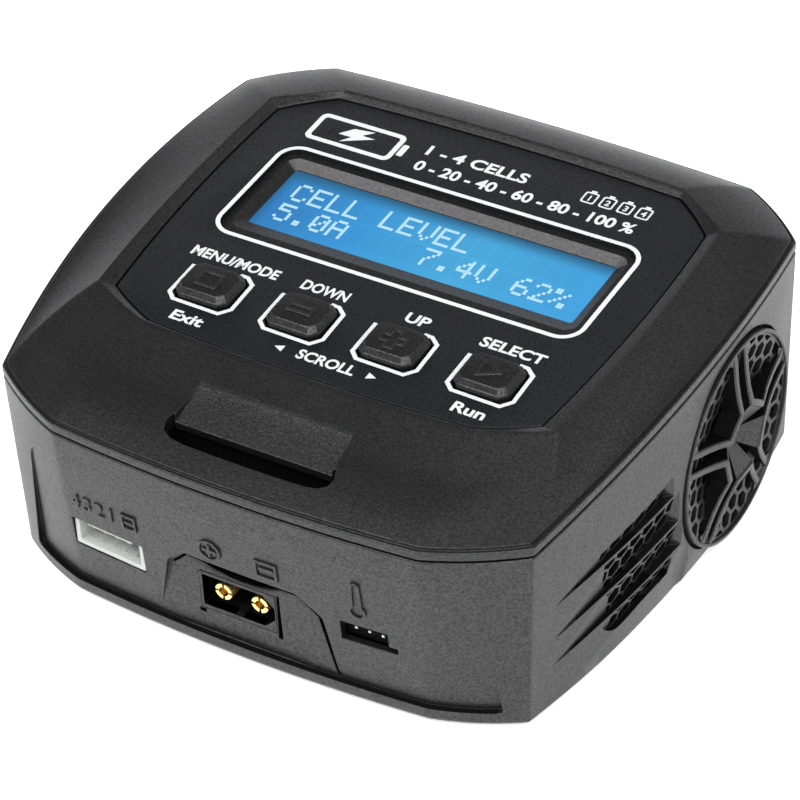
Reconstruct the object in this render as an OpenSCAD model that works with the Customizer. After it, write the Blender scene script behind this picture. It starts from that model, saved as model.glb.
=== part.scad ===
// Balance battery charger with character display, four keys, side fan and front output sockets.
// Millimetres, +Z up, origin on the resting plane under the middle of the case.
// The output sockets face -Y, the mains inlet +Y and the fan +X.

/* [Case] */
// Half width of the case at the front side corners
front_half_width = 51.82; // [46:0.1:56]
// Half width of the case at the rear side corners
rear_half_width = 56.44; // [50:0.1:60]
// Distance from the middle to the front face corners
front_reach = 52.87; // [48:0.1:58]
// Distance from the middle to the rear face corners
rear_reach = 53.08; // [48:0.1:58]
// Height of the parting line at the middle of the case
parting_height = 40.83; // [36:0.1:44]
// Rise of the parting line per millimetre towards the rear
parting_slope = 0.055; // [0:0.005:0.08]
// Extra rise of the parting line half way along each side
side_arch = 2.35; // [0:0.05:3]
// Outward bulge of each side wall
side_bulge = 3.99; // [1:0.1:5]
// Wall thickness of the mouldings
wall = 2; // [1.6:0.1:2.4]

/* [Panel] */
// Height of the label face over the middle of the case
panel_height = 46.71; // [45:0.1:48]
// Rise of the label face per millimetre towards the rear
panel_slope = 0.0357; // [0:0.005:0.06]
// Thickness of the printed label plate
label_t = 0.9; // [0.5:0.1:1.2]

/* [Display] */
// Width of the display recess at the label face
lcd_w = 71.6; // [66:0.1:74]
// Length of the display recess at the label face
lcd_h = 26; // [22:0.1:28]
// Position of the display centre towards the rear
lcd_y = 12; // [8:0.1:14]
// Depth of the display glass under the label face
glass_depth = 2.2; // [1.8:0.1:3]
// Width of the display window at the glass
view_w = 64.9; // [60:0.1:66]
// Length of the display window at the glass
view_h = 16.4; // [14:0.1:18]
// Position of the display window centre towards the rear
view_y = 13.4; // [12:0.1:15]

/* [Keys] */
// Spacing of the four keys
key_pitch = 18.35; // [17:0.05:19]
// Position of the key row, negative towards the front
key_y = -16; // [-18:0.1:-12]
// Height of the key tops above the label face
key_proud = 2.2; // [1.5:0.1:4]

/* [Fan] */
// Fan axis position towards the rear
fan_y = 15.3; // [10:0.1:20]
// Fan axis height
fan_z = 21.8; // [20.5:0.1:23]
// Radius of the fan grille disc
grille_r = 20; // [18:0.1:20.2]
// Outside of the grille disc measured from the middle of the case
grille_x = 59.2; // [58:0.1:60]
// Side of the square fan frame
fan_side = 35; // [30:0.5:36]
// Thickness of the fan
fan_t = 10; // [8:0.5:10]
// Outside face of the fan measured from the middle of the case
fan_out = 54.2; // [53.8:0.1:54.3]

/* [Sockets] */
// Main output socket centre, sideways
out_x = -1.1; // [-2:0.1:2]
// Main output socket centre, height
out_z = 13; // [12.8:0.1:16]
// Spacing of the main output contacts
out_pitch = 7.2; // [7:0.1:7.4]
// Balance socket centre, sideways
bal_x = -27.1; // [-30:0.1:-24]
// Balance socket centre, height
bal_z = 15.4; // [14:0.1:17]
// Spacing of the balance pins
bal_pitch = 2.5; // [2.5:0.01:2.54]
// Temperature socket centre, sideways
tmp_x = 24.2; // [20:0.1:28]
// Temperature socket centre, height
tmp_z = 16; // [13:0.1:17]
// Mains inlet centre, sideways on the rear face
ac_x = -24; // [-30:0.5:-16]

/* [Hidden] */
$fn = 48;
fine = 96;     // facets of the large rounds of the fan
sides = [-1, 1];

plastic = [0.055, 0.057, 0.062];
board_green = [0.05, 0.25, 0.12];
screw_steel = [0.6, 0.6, 0.62];
tin = [0.8, 0.8, 0.78];

// Boards: the main board is level, the control board hangs parallel to the label face
board_t = 1.6;
board_z = 8;
board_top = board_z + board_t;
control_z = -12.6;   // underside, measured from the label face
control_top = control_z + board_t;

// Screw, post and foot places, [x, y]
boss_places = [[-40, -41.5], [40, -41.5], [-46, 41.5], [46, 41.5]];
stand_places = [[-40, -26], [40, -26], [-40, 36], [36, 36]];
foot_places = [[-29, -41], [29, -41], [-34, 42], [34, 42]];
control_posts = [[-36, -24], [36, -24], [-40, 26], [40, 26]];
boss_split = 26;     // height where lower and upper bosses meet
boss_r = 3.4;
post_z = 2;          // posts start inside the floor

key_row_x = 0.95;    // middle of the key row
key_places = [for (k = [0 : 3]) [key_row_x + (k - 1.5) * key_pitch, key_y]];

fan_back = fan_out - fan_t;
fan_screw_reach = 14.5;
shaft_r = 1;
grille_t = 2.4;
spoke_angles = [for (k = [0 : 4]) k * 72 + 34];
hex_pitch = 3.7;
hex_r = 1.62;

pin_w = 0.64;        // side of the square pins
pin_pitch = 2.54;
bal_turn = -4.5;     // turn of the balance socket about Z
tmp_turn = 2;        // turn of the temperature socket about Z
ac_z = 17.6;
ac_pin_reach = 4.3;

// ---- outlines ----
long_segs = 6;       // segments in a front, side or rear edge
corner_segs = 2;     // segments in a corner edge

// Right-hand corners of each outline, [x, y] from front to rear
part_corners = [[35.46, -front_reach], [front_half_width, -43.98],
  [rear_half_width, 42.98], [42.94, rear_reach]];
base_corners = [[35.1, 1.4 - front_reach], [front_half_width - 1.4, -44.5],
  [rear_half_width - 1.1, 42.6], [42.5, rear_reach - 0.9]];
shoulder_corners = [[33.6, -40.5], [49.3, -33], [51.6, 38.8], [38.6, 48]];
shoulder_inner_corners = [[33, -38], [46.5, -32], [49, 36.8], [37.2, 45.5]];
boss_limit_corners = [[33.3, -39], [48, -32.5], [50.3, 37.8], [38, 46.8]];
rim_corners = [[32.3, -28.9], [45.1, -23.2], [45.8, 34.8], [34.4, 42.8]];
rim_inner_corners = [[30.8, -26.2], [43, -21], [43.6, 32.5], [33.2, 40.5]];
panel_corners = [[31.6, -27.75], [41.8, -22.35], [43.4, 33.4], [34.75, 40.9]];

// Outward bow of the [front, corner, side, rear] edges
wall_bows = [1.72, 0.7, side_bulge, 1.45];
shoulder_bows = [1.3, 0.5, 2.4, 1.2];
shoulder_inner_bows = [1.3, 0.5, 2.2, 1.2];
rim_bows = [1, 0.3, 1.2, 1];
panel_bows = [1, 0.3, 1.3, 1];
shoulder_slope = 0.055;

// Which bow each of the eight edges takes, counter-clockwise from the front
edge_bows = [0, 1, 2, 1, 3, 1, 2, 1];

// Parabolic edge from start up to, but not including, end
function bowed_edge(start, end, bow, segs) =
  let (span = end - start, normal = [span[1], -span[0]] / norm(span))
  [for (i = [0 : segs - 1]) let (t = i / segs) start + span * t + normal * (4 * bow * t * (1 - t))];

function outline(corners, bows) =
  let (left = [for (c = corners) [-c[0], c[1]]],
    loop = concat([left[0]], corners, [left[3], left[2], left[1]]))
  [for (e = [0 : 7])
    for (p = bowed_edge(loop[e], loop[(e + 1) % 8], bows[edge_bows[e]],
      e % 2 == 0 ? long_segs : corner_segs)) p];

// Share of the side arch at outline point i, zero off the two side edges
function arch_at(i) =
  let (step = long_segs + corner_segs, t = (i % (2 * step) - step) / long_segs)
  t > 0 && t < 1 ? 4 * t * (1 - t) : 0;

// Outline in space: height z at the middle, sloping up to the rear, arched at the sides
function level(corners, bows, z, slope = 0, arch = 0) =
  let (ring = outline(corners, bows))
  [for (i = [0 : len(ring) - 1])
    [ring[i][0], ring[i][1], z + slope * ring[i][1] + arch * arch_at(i)]];

// Corners moved inwards by t
function inset(corners, t) = corners + t * [[-0.25, 1], [-1, 0.6], [-1, -0.6], [-0.25, -1]];

// Case outline along the parting line, raised by dz and moved inwards by t
function parting_level(dz, t = 0) =
  level(inset(part_corners, t), wall_bows, parting_height + dz, parting_slope, side_arch);
// Flat outlines near the floor and at the widest plan, moved inwards by t
function base_level(z, t = 0) = level(inset(base_corners, t), wall_bows, z);
function wide_level(z, t) = level(inset(part_corners, t), wall_bows, z);

// Solid through a stack of levels, each end closed by a fan about a middle point
module loft(levels) {
  n = len(levels[0]);
  last = len(levels) - 1;
  middles = [for (ring = [levels[0], levels[last]]) [0, 0, (ring[0][2] + ring[n / 2][2]) / 2]];
  bottom_middle = n * (last + 1);
  polyhedron(
    points = concat([for (ring = levels) for (p = ring) p], middles),
    faces = concat(
      [for (i = [0 : n - 1]) [bottom_middle, i, (i + 1) % n]],
      [for (i = [0 : n - 1]) [bottom_middle + 1, n * last + (i + 1) % n, n * last + i]],
      [for (j = [0 : last - 1]) for (i = [0 : n - 1])
        [n * j + i, n * (j + 1) + i, n * (j + 1) + (i + 1) % n]],
      [for (j = [0 : last - 1]) for (i = [0 : n - 1])
        [n * j + i, n * (j + 1) + (i + 1) % n, n * j + (i + 1) % n]]),
    convexity = 6);
}

// ---- placing and shapes ----
module on_panel() translate([0, 0, panel_height]) rotate([atan(panel_slope), 0, 0]) children();
module at_each(places, z = 0) for (p = places) translate([p[0], p[1], z]) children();
module at_four(reach) for (sx = sides, sy = sides)
  translate([sx * reach[0], sy * reach[1], 0]) children();
// Local +Z along the fan axis, outwards
module at_fan(x) translate([x, fan_y, fan_z]) rotate([0, 90, 0]) children();
module at_fan_screws(x) at_fan(x) at_four([fan_screw_reach, fan_screw_reach]) children();
// Local +Z towards the front (-Y) or the rear (+Y)
module facing_front(y, z = 0) translate([0, y, z]) rotate([90, 0, 0]) children();
module facing_rear(y) translate([0, y, 0]) rotate([-90, 0, 0]) children();
// Profile in [y, z], extruded from distance x outwards through a side wall
module side_cut(side, x, depth)
  translate([side * x, 0, 0])
    rotate([90, 0, 90])
      translate([0, 0, side > 0 ? 0 : -depth])
        linear_extrude(depth) children();
// Box centred on [x, y], standing on z
module block(size, x = 0, y = 0, z = 0)
  translate([x - size[0] / 2, y - size[1] / 2, z]) cube(size);

module octagon(half_w, half_l, cut) polygon([
  [-half_w + cut, -half_l], [half_w - cut, -half_l], [half_w, -half_l + cut],
  [half_w, half_l - cut], [half_w - cut, half_l], [-half_w + cut, half_l],
  [-half_w, half_l - cut], [-half_w, -half_l + cut]]);
// Corner table: x sign, y sign, start angle
module round_rect(w, l, r) polygon([
  for (q = [[1, 1, 0], [-1, 1, 90], [-1, -1, 180], [1, -1, 270]]) for (a = [0 : 30 : 90])
    [q[0] * (w / 2 - r) + r * cos(q[2] + a), q[1] * (l / 2 - r) + r * sin(q[2] + a)]]);

// ---- lower moulding ----
// Outline of each side vent, [y, z]
vent_profile = [[-29, 24], [-27.6, 28.9], [-9, 26.2], [-6, 24.6], [-5, 12],
  [-8, 10.4], [-22, 8], [-25.5, 8.6], [-27, 11.9]];
vent_bars = [11.9, 17.9, 24];   // heights of the bars across the vent
vent_row_pitch = 3.2;
// Front fascia, [x, height over its lower edge]
fascia_profile = [[-46.8, 0], [-44.2, 23.4], [-42, 26], [-34, 27.3],
  [34, 27.3], [42, 26], [44.2, 23.4], [46.8, 0]];
// Recess around the main output socket, [x, z]
output_recess = [[-16.8, 5], [-14.3, 18.6], [-10.6, 21.9],
  [12.9, 22.2], [16.1, 19.2], [18.7, 5]];

// Limits of the hexagon centres: below, above, front, rear
function in_vent(y, z) =
  z > 8.9 + (y < -20 ? 0.6 : 0.11 * (y + 20))
  && z < 27.6 - 0.13 * (y + 27)
  && y > -27.6 + (20 - z) * 0.08
  && y < -6.2;

// Shallow field crossed by bars, with hexagons through the wall and slits in front
module side_vent(side) {
  side_cut(side, 56.05, 8) difference() {
    polygon(vent_profile);
    for (z = vent_bars) translate([-32, z - 0.55]) square([30, 0.6]);
  }
  for (row = [-1 : 6], col = [-1 : 7])
    let (y = -27 + col * hex_pitch + (abs(row) % 2) * hex_pitch / 2, z = 10 + row * vent_row_pitch)
      if (in_vent(y, z))
        translate([side * 45, y, z]) rotate([0, side * 90, 0]) cylinder(r = hex_r, h = 20, $fn = 6);
  for (z = vent_bars)
    translate([0, -38, z]) side_cut(side, 54.6, 6) polygon([[0, 0], [10, 0.02], [10, 1.5]]);
}

module lower_walls() difference() {
  loft([base_level(1, 0.8), base_level(1.8), parting_level(-0.3)]);
  loft([base_level(3.2, wall), parting_level(2, wall)]);
}

module fascia_cut() difference() {
  facing_front(-40, 4.2) linear_extrude(20) polygon(fascia_profile);
  loft([base_level(0, 1.25), wide_level(33.2, 0.1)]);
}

module front_opening(x, z, turn, w, h)
  translate([x, -50, z]) rotate([0, 0, turn]) translate([-w / 2, -12, -h / 2]) cube([w, 20, h]);

module bottom_shell() color(plastic) difference() {
  union() {
    lower_walls();
    at_each(boss_places, post_z) cylinder(r = boss_r, h = boss_split - post_z);
    at_each(stand_places, post_z) cylinder(r = 2.6, h = board_z - post_z);
    at_fan_screws(fan_out + 0.05) cylinder(r = 2.4, h = 2);
    // block inside the front wall under the main output socket
    translate([out_x - 11, -50.5, post_z]) cube([22, 6.5, 5.4]);
  }
  // case screws with head recesses
  at_each(boss_places) {
    cylinder(r = 1.7, h = 60);
    cylinder(r = 3, h = 4.2);
  }
  at_each(stand_places, 3.4) cylinder(r = 1, h = 10);
  at_each(foot_places) cylinder(r = 4.7, h = 1.8);
  at_fan_screws(50) cylinder(r = 1.1, h = 6.2);
  // fan opening with a seat for the grille disc
  at_fan(50) cylinder(r = 17.3, h = 20, $fn = fine);
  at_fan(grille_x - grille_t) cylinder(r = grille_r + 0.25, h = 20, $fn = fine);
  for (side = sides) side_vent(side);
  fascia_cut();
  facing_front(-51.9) linear_extrude(8) polygon(output_recess);
  // socket openings
  translate([out_x - 8.15, -60, out_z - 4.2]) cube([16.3, 20, 8.4]);
  front_opening(bal_x, bal_z, bal_turn, w = 15.2, h = 6.1);
  front_opening(tmp_x, tmp_z, tmp_turn, w = 10.6, h = 4.6);
  translate([ac_x - 10.6, 44, 9.5]) cube([21.2, 20, 15.8]);
  // slots in the floor
  for (i = [-4 : 4]) translate([-20 + i * 4, -8, 0]) cube([1.8, 24, 5]);
}

// ---- upper moulding ----
module key_holes(bottom, top)
  at_each(key_places, bottom) linear_extrude(top - bottom) octagon(5.75, 4.9, 1.9);

module upper_walls() difference() {
  loft([
    parting_level(0),
    parting_level(1.85),
    parting_level(2.1, 0.7),
    level(shoulder_corners, shoulder_bows, 45.25, shoulder_slope, 0.6),
    level(rim_corners, rim_bows, panel_height + 0.75, panel_slope + 0.004)]);
  loft([
    parting_level(-2, wall),
    parting_level(0.6, wall),
    level(shoulder_inner_corners, shoulder_inner_bows, 42.9, shoulder_slope, 0.4),
    level(rim_inner_corners, rim_bows, panel_height - 3, panel_slope)]);
}

// Screw bosses trimmed to stay under the outer skin
module upper_bosses() intersection() {
  at_each(boss_places, boss_split) cylinder(r = boss_r, h = 30);
  loft([
    wide_level(10, 1),
    parting_level(1.2, 1),
    level(boss_limit_corners, shoulder_bows, 43.9, shoulder_slope, 0.5),
    level(rim_corners, rim_bows, panel_height - 1.5, panel_slope)]);
}

module display_opening() {
  translate([0, view_y, -5]) linear_extrude(4) round_rect(view_w, view_h, 0.5);
  // bevel from the label face down to the window
  hull() {
    translate([0, lcd_y, -0.1]) linear_extrude(0.2) round_rect(lcd_w, lcd_h, 3.6);
    translate([0, view_y, -glass_depth]) linear_extrude(0.02) round_rect(view_w, view_h, 0.5);
  }
  // pocket that holds the display glass from below
  block([69.2, 23.6, 8 - glass_depth - 0.05], y = lcd_y, z = -8);
}

module top_shell() color(plastic) difference() {
  union() {
    upper_walls();
    upper_bosses();
    // block behind the front slot
    translate([-17.4, -50.4, 34.4]) cube([33.6, 7.6, 6.8]);
    // posts that carry the control board
    on_panel() at_each(control_posts, control_top) cylinder(r = 2.4, h = 9);
  }
  at_each(boss_places, 20) cylinder(r = 1.25, h = 18);
  on_panel() {
    at_each(control_posts, -12) cylinder(r = 0.9, h = 8);
    // seat of the label
    translate([0, 0, -label_t]) linear_extrude(10) polygon(outline(panel_corners, panel_bows));
    key_holes(-8, 3);
    display_opening();
  }
  // sloping ramp and slot in the front shoulder
  translate([-0.6, -37.4, 43.9]) rotate([17.5, 0, 0]) translate([-15.7, -7.4, 0])
    cube([31.4, 7.4, 8]);
  translate([-15.9, -48.6, 36]) cube([30.6, 4.3, 12]);
}

// ---- panel parts, heights measured from the label face ----
module control_label() color([0.035, 0.037, 0.045]) on_panel() difference() {
  translate([0, 0, -label_t]) linear_extrude(label_t)
    polygon(outline(inset(panel_corners, 0.25), panel_bows));
  key_holes(-2, 2);
  translate([0, lcd_y, -3]) linear_extrude(6) round_rect(lcd_w, lcd_h, 3.6);
}

// Octagonal steps of a key: bottom, height, half width, half length, corner cut
key_steps = [
  [-3.4, key_proud + 2.5, 5.35, 4.5, 1.6],
  [key_proud - 0.92, 0.5, 5.0, 4.1, 1.45],
  [key_proud - 0.44, 0.44, 4.75, 3.75, 1.3],
  [-4.2, 1.1, 6.6, 5.7, 2.2]];

// Key with a retaining flange and a stem; the child outline is grooved into its top
module key(i) color([0.05, 0.052, 0.057]) on_panel() at_each([key_places[i]]) difference() {
  union() {
    for (s = key_steps) translate([0, 0, s[0]]) linear_extrude(s[1]) octagon(s[2], s[3], s[4]);
    translate([0, 0, -5.98]) cylinder(r = 1.9, h = 3);
  }
  translate([0, 0, key_proud - 0.2]) linear_extrude(1) children();
}
module plus(length, width) {
  square([length, width], center = true);
  square([width, length], center = true);
}
module key_stop() key(0) difference() {
  square(3.6, center = true);
  square(3, center = true);
}
module key_dec() key(1) difference() {
  square([4, 1.4], center = true);
  square([3.4, 0.8], center = true);
}
module key_inc() key(2) difference() {
  plus(4, 1.4);
  plus(3.4, 0.8);
}
module key_start() key(3) difference() {
  polygon([[-1.6, -2], [2.2, 0], [-1.6, 2]]);
  polygon([[-1.3, -1.5], [1.5, 0], [-1.3, 1.5]]);
}

module plunger(i) color([0.12, 0.12, 0.13]) on_panel()
  at_each([key_places[i]], -9) cylinder(r = 1.7, h = 3);
module plunger_stop() plunger(0);
module plunger_dec() plunger(1);
module plunger_inc() plunger(2);
module plunger_start() plunger(3);

module tact_switches() color([0.7, 0.7, 0.7]) on_panel()
  at_each(key_places, control_top) difference() {
    union() {
      block([6, 6, 3.5]);
      at_four([3.3, 2.25]) block([0.8, 0.7, 1.6]);
    }
    translate([0, 0, 0.9]) cylinder(r = 1.78, h = 5);
  }

module control_pcb() color(board_green) on_panel() difference() {
  translate([-42.5, -27, control_z]) cube([85, 56.5, board_t]);
  at_each(control_posts, -14) cylinder(r = 1.4, h = 5);
  // front left corner notch
  translate([-43.5, -28, -14]) cube([4, 4, 5]);
}
module control_pcb_screws() color(screw_steel) on_panel() at_each(control_posts, control_z) {
  translate([0, 0, -1.2]) cylinder(r = 2.2, h = 1.2);
  translate([0, 0, -0.5]) cylinder(r = 0.88, h = 6);
}

// ---- display ----
module lcd_glass() color([0.1, 0.45, 0.75]) on_panel()
  block([68.4, 22.8, 1.1], y = lcd_y, z = -glass_depth - 1.17);
module lcd_frame() color([0.12, 0.12, 0.13]) on_panel() difference() {
  block([71.2, 25.8, 4.95], y = lcd_y, z = -8);
  // seat of the glass, then the opening under it
  block([68.6, 23, 3], y = lcd_y, z = -glass_depth - 1.2);
  block([66, 20.4, 6], y = lcd_y, z = -9);
}
module lcd_pcb() color(board_green) on_panel() difference() {
  block([80, 35, board_t], y = lcd_y, z = -9.6);
  translate([0, lcd_y, -11]) at_four([37.5, 15.2]) cylinder(r = 1.3, h = 4);
  // clearance for the rear posts of the control board
  at_each([control_posts[2], control_posts[3]], -11) cylinder(r = 2.9, h = 4);
}
module lcd_header() color([0.8, 0.65, 0.3]) on_panel() for (i = [0 : 15])
  translate([-32 + i * pin_pitch - pin_w / 2, lcd_y + 15.2, -13.4]) cube([pin_w, pin_w, 6.2]);

// ---- fan ----
function on_spoke(x, y) = len([for (a = spoke_angles)
  if (x * cos(a) + y * sin(a) > 0 && abs(y * cos(a) - x * sin(a)) < 4.95) a]) > 0;

// Hexagon cutters between two radii, clear of the spokes
module hexagons(inner_r, outer_r) for (i = [-6 : 6], j = [-6 : 6])
  let (x = j * hex_pitch * 0.866, y = i * hex_pitch + (j % 2 == 0 ? 0 : hex_pitch / 2),
    d = norm([x, y]))
    if (d > inner_r && d < outer_r && !on_spoke(x, y))
      translate([x, y, -1]) cylinder(r = hex_r, h = 12, $fn = 6);

// Twin-bar spokes over a honeycomb, hub with a star standing proud
module fan_grille() color(plastic) at_fan(grille_x - grille_t) difference() {
  union() {
    difference() {
      cylinder(r = grille_r - 0.6, h = 0.9, $fn = fine);
      hexagons(7.4, 16.7);
    }
    difference() {
      cylinder(r = grille_r, h = grille_t, $fn = fine);
      translate([0, 0, -1]) cylinder(r = 18.4, h = 5, $fn = fine);
    }
    for (a = spoke_angles) rotate(a) for (y = [1.7, -3.3])
      translate([4.2, y, 0.1]) cube([14.6, 1.6, 2.25]);
    cylinder(r = 5.6, h = 2.7, $fn = fine);
    translate([0, 0, 0.3]) linear_extrude(3.1) polygon([
      for (a = spoke_angles) for (tip = [[5.1, 0], [2.9, 36]])
        [tip[0] * cos(a + tip[1]), tip[0] * sin(a + tip[1])]]);
  }
  translate([0, 0, -1]) cylinder(r = 1.6, h = 2.2);
}
module fan_frame() color([0.07, 0.07, 0.075]) difference() {
  at_fan(fan_back) {
    difference() {
      block([fan_side, fan_side, fan_t]);
      translate([0, 0, -1]) cylinder(r = fan_side / 2 - 0.9, h = fan_t + 2, $fn = fine);
    }
    // motor seat and its three arms
    cylinder(r = 8, h = 1.2);
    for (k = [0 : 2]) rotate(k * 120 + 30) translate([6, -1.1, 0]) cube([11.2, 2.2, 1.2]);
  }
  at_fan_screws(fan_back - 1) cylinder(r = 1.3, h = fan_t + 2);
  at_fan(fan_back) translate([0, 0, 0.4]) cylinder(r = shaft_r, h = 2);
}
module fan_shaft() color([0.75, 0.75, 0.77]) at_fan(fan_back)
  translate([0, 0, 0.4]) cylinder(r = shaft_r, h = 7.2);

// Fan blade section
blade_profile = [[0, -2.2], [-1.6, -0.9], [-3.6, 0.8], [-6.4, 2.6],
  [-6.6, 1.9], [-4, -0.1], [-2, -1.8], [-0.3, -3]];
module fan_rotor() color([0.09, 0.09, 0.095]) at_fan(fan_back) difference() {
  union() {
    translate([0, 0, 1.7]) cylinder(r = 8.6, h = 7.5);
    for (k = [0 : 6]) rotate(k * 360 / 7) translate([8, 0, 2.1]) rotate([0, 90, 0])
      linear_extrude(7.9) polygon(blade_profile);
  }
  translate([0, 0, 1.6]) cylinder(r = shaft_r + 0.05, h = 6.3);
  // ring-shaped hollow in the hub
  translate([0, 0, 1.6]) difference() {
    cylinder(r = 7.4, h = 4.4);
    translate([0, 0, -1]) cylinder(r = 2.2, h = 7);
  }
}
module fan_screws() color([0.3, 0.3, 0.31]) at_fan_screws(fan_back) {
  translate([0, 0, -1.3]) cylinder(r = 2.1, h = 1.3);
  translate([0, 0, -0.5]) cylinder(r = 1.08, h = fan_t + 1.6);
}

// ---- main board ----
board_profile = [[-31, -44], [31, -44], [44, -32], [44, -6], [42, -4],
  [42, 38], [-42, 40], [-44, 34], [-44, -32]];
module main_pcb() color(board_green) difference() {
  translate([0, 0, board_z]) linear_extrude(board_t) polygon(board_profile);
  at_each(stand_places, 5) cylinder(r = 1.5, h = 8);
  // notch that clears the body of the main output socket
  translate([out_x - 8.2, -46, 7]) cube([16.4, 9.2, 4]);
}
module main_pcb_screws() color(screw_steel) at_each(stand_places, board_top) {
  cylinder(r = 2.4, h = 1.4);
  translate([0, 0, -6]) cylinder(r = 0.98, h = 6.5);
}

// ---- sockets ----
// Rectangle with both right-hand corners cut
module keyed_profile(w, h, cut) polygon([[-w / 2, -h / 2], [w / 2 - cut, -h / 2],
  [w / 2, -h / 2 + cut], [w / 2, h / 2 - cut], [w / 2 - cut, h / 2], [-w / 2, h / 2]]);

module output_socket() color([0.06, 0.06, 0.065]) translate([out_x, 0, out_z]) difference() {
  union() {
    translate([-8, -52, -4.05]) cube([16, 2, 8.1]);
    facing_front(-37) linear_extrude(15) keyed_profile(15.6, 7.9, 2.2);
  }
  facing_front(-41.5) linear_extrude(13) keyed_profile(14.4, 6.9, 2.2);
  for (s = sides) translate([s * out_pitch / 2, 0, 0]) facing_front(-30)
    cylinder(r = 1.55, h = 14);
}
// Round contacts with a crossed split and a bore in the tip, and a leg to the board
module output_contacts() color([0.85, 0.68, 0.3]) for (s = sides)
  translate([out_x + s * out_pitch / 2, 0, out_z]) difference() {
    leg_h = out_z - board_top - 0.05;
    union() {
      facing_front(-41.5) cylinder(r = 1.75, h = 9.47);
      facing_front(-33) cylinder(r = 1.55, h = 9);
      translate([0, -34.4, -leg_h]) cylinder(r = 0.9, h = leg_h);
    }
    for (a = [45, 135]) translate([0, -51, 0]) rotate([0, a, 0]) translate([-0.2, 0, -3])
      cube([0.4, 8, 6]);
    facing_front(-45) cylinder(r = 0.75, h = 8);
  }

// Holes for 2 * reach + 1 pins through the back of a socket
module pin_holes(reach, pitch) for (i = [-reach : reach])
  translate([i * pitch - pin_w / 2, 3, -pin_w / 2]) cube([pin_w, 6, pin_w]);
// Matching pins, each with a leg hanging at leg_y
module bent_pins(reach, pitch, tip_y, length, leg_y, leg_z, leg_h)
  for (i = [-reach : reach]) translate([i * pitch - pin_w / 2, 0, 0]) {
    translate([0, tip_y, -pin_w / 2]) cube([pin_w, length, pin_w]);
    translate([0, leg_y, leg_z]) cube([pin_w, pin_w, leg_h]);
  }

module at_balance() translate([bal_x + 0.1, -49, bal_z]) rotate([0, 0, bal_turn]) children();
module balance_socket() color([0.92, 0.92, 0.9]) at_balance() difference() {
  translate([-7.45, -2.6, -2.9]) cube([14.9, 10, 5.8]);
  translate([-6.6, -3.6, -2.05]) cube([13.2, 7.6, 3.9]);
  for (s = sides) translate([s * 4.9 - 0.9, -3.6, 1]) cube([1.8, 5, 3]);
  pin_holes(2, bal_pitch);
}
module balance_pins() color(tin) at_balance()
  bent_pins(2, bal_pitch, tip_y = -1.6, length = 11.5, leg_y = 9.2, leg_z = -5.7, leg_h = 6);

module at_temp() translate([tmp_x, -49.8, tmp_z]) rotate([0, 0, tmp_turn]) children();
module temp_socket() color([0.04, 0.04, 0.045]) at_temp() difference() {
  translate([-5.2, -1.9, -2.25]) cube([10.4, 9, 4.5]);
  translate([-4.4, -3, -1.7]) cube([8.8, 6.6, 3.6]);
  pin_holes(1, pin_pitch);
}
module temp_pins() color([0.85, 0.7, 0.35]) at_temp()
  bent_pins(1, pin_pitch, tip_y = -0.6, length = 10, leg_y = 8.8, leg_z = -6.3, leg_h = 6.6);

module ac_inlet() color([0.05, 0.05, 0.055]) translate([ac_x, 0, ac_z]) difference() {
  union() {
    translate([-10.4, 32, -7.9]) cube([20.8, 20.6, 15.4]);
    translate([-10.4, 52.5, -7.5]) cube([20.8, 1.6, 15]);
  }
  // two-lobed mouth
  facing_rear(41) for (s = sides) translate([s * 4, 0, 0]) cylinder(r = 4.3, h = 20);
  translate([-4, 41, -3.6]) cube([8, 20, 7.2]);
  facing_rear(28) for (s = sides) translate([s * ac_pin_reach, 0, 0])
    cylinder(r = 1.25, h = 14);
}
module ac_pins() color(tin) for (s = sides) translate([ac_x + s * ac_pin_reach, 0, ac_z]) {
  facing_rear(29.6) cylinder(r = 1.2, h = 21.9);
  translate([0, 30.9, -7.9]) cylinder(r = 0.7, h = 7.9);
}

// ---- parts on the main board ----
module at_transformer() translate([-16, 12, board_top + 0.2]) children();
module transformer_core() color([0.13, 0.12, 0.12]) at_transformer() difference() {
  translate([-13, -11, 0]) cube([26, 22, 20]);
  for (y = [-8, 3.4]) translate([-14, y, 4]) cube([28, 4.6, 12]);
}
module transformer_winding() color([0.85, 0.7, 0.15]) at_transformer() difference() {
  translate([-10.6, -8, 4]) cube([21.2, 16, 12]);
  translate([-14, -3.4, 3]) cube([28, 6.8, 14]);
}

// Capacitors: x, y, radius, height, radius of the disc on top
input_can = [0, 31, 6.2, 21, 5.4];
output_cans = [[8, -28, 4, 13, 3.4], [17, -28, 4, 13, 3.4],
  [-24, -26, 3.2, 11, 2.7], [-17, -26, 3.2, 11, 2.7]];
module can(c) translate([c[0], c[1], board_top]) cylinder(r = c[2], h = c[3]);
module input_capacitor() color([0.1, 0.1, 0.12]) can(input_can);
module output_capacitors() color([0.08, 0.12, 0.2]) for (c = output_cans) can(c);
module capacitor_caps() color([0.75, 0.75, 0.76]) for (c = concat([input_can], output_cans))
  translate([c[0], c[1], board_top + c[3]]) cylinder(r = c[4], h = 0.3);

module heatsink() color([0.66, 0.67, 0.69]) translate([18, 0, board_top]) {
  translate([-1.5, -16, 0]) cube([3, 44, 20]);
  for (i = [0 : 8]) translate([1.4, -15.4 + i * 5.2, 2]) cube([9, 1.4, 18]);
}
module power_transistors() color([0.06, 0.06, 0.065]) for (y = [-9, 4, 17]) {
  translate([11.9, y - 5, 13]) cube([4.5, 10, 12]);
  for (i = [-1 : 1]) translate([13.2, y + i * 2.5 - 0.4, board_top]) cube([0.6, 0.8, 3.6]);
}

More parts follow.
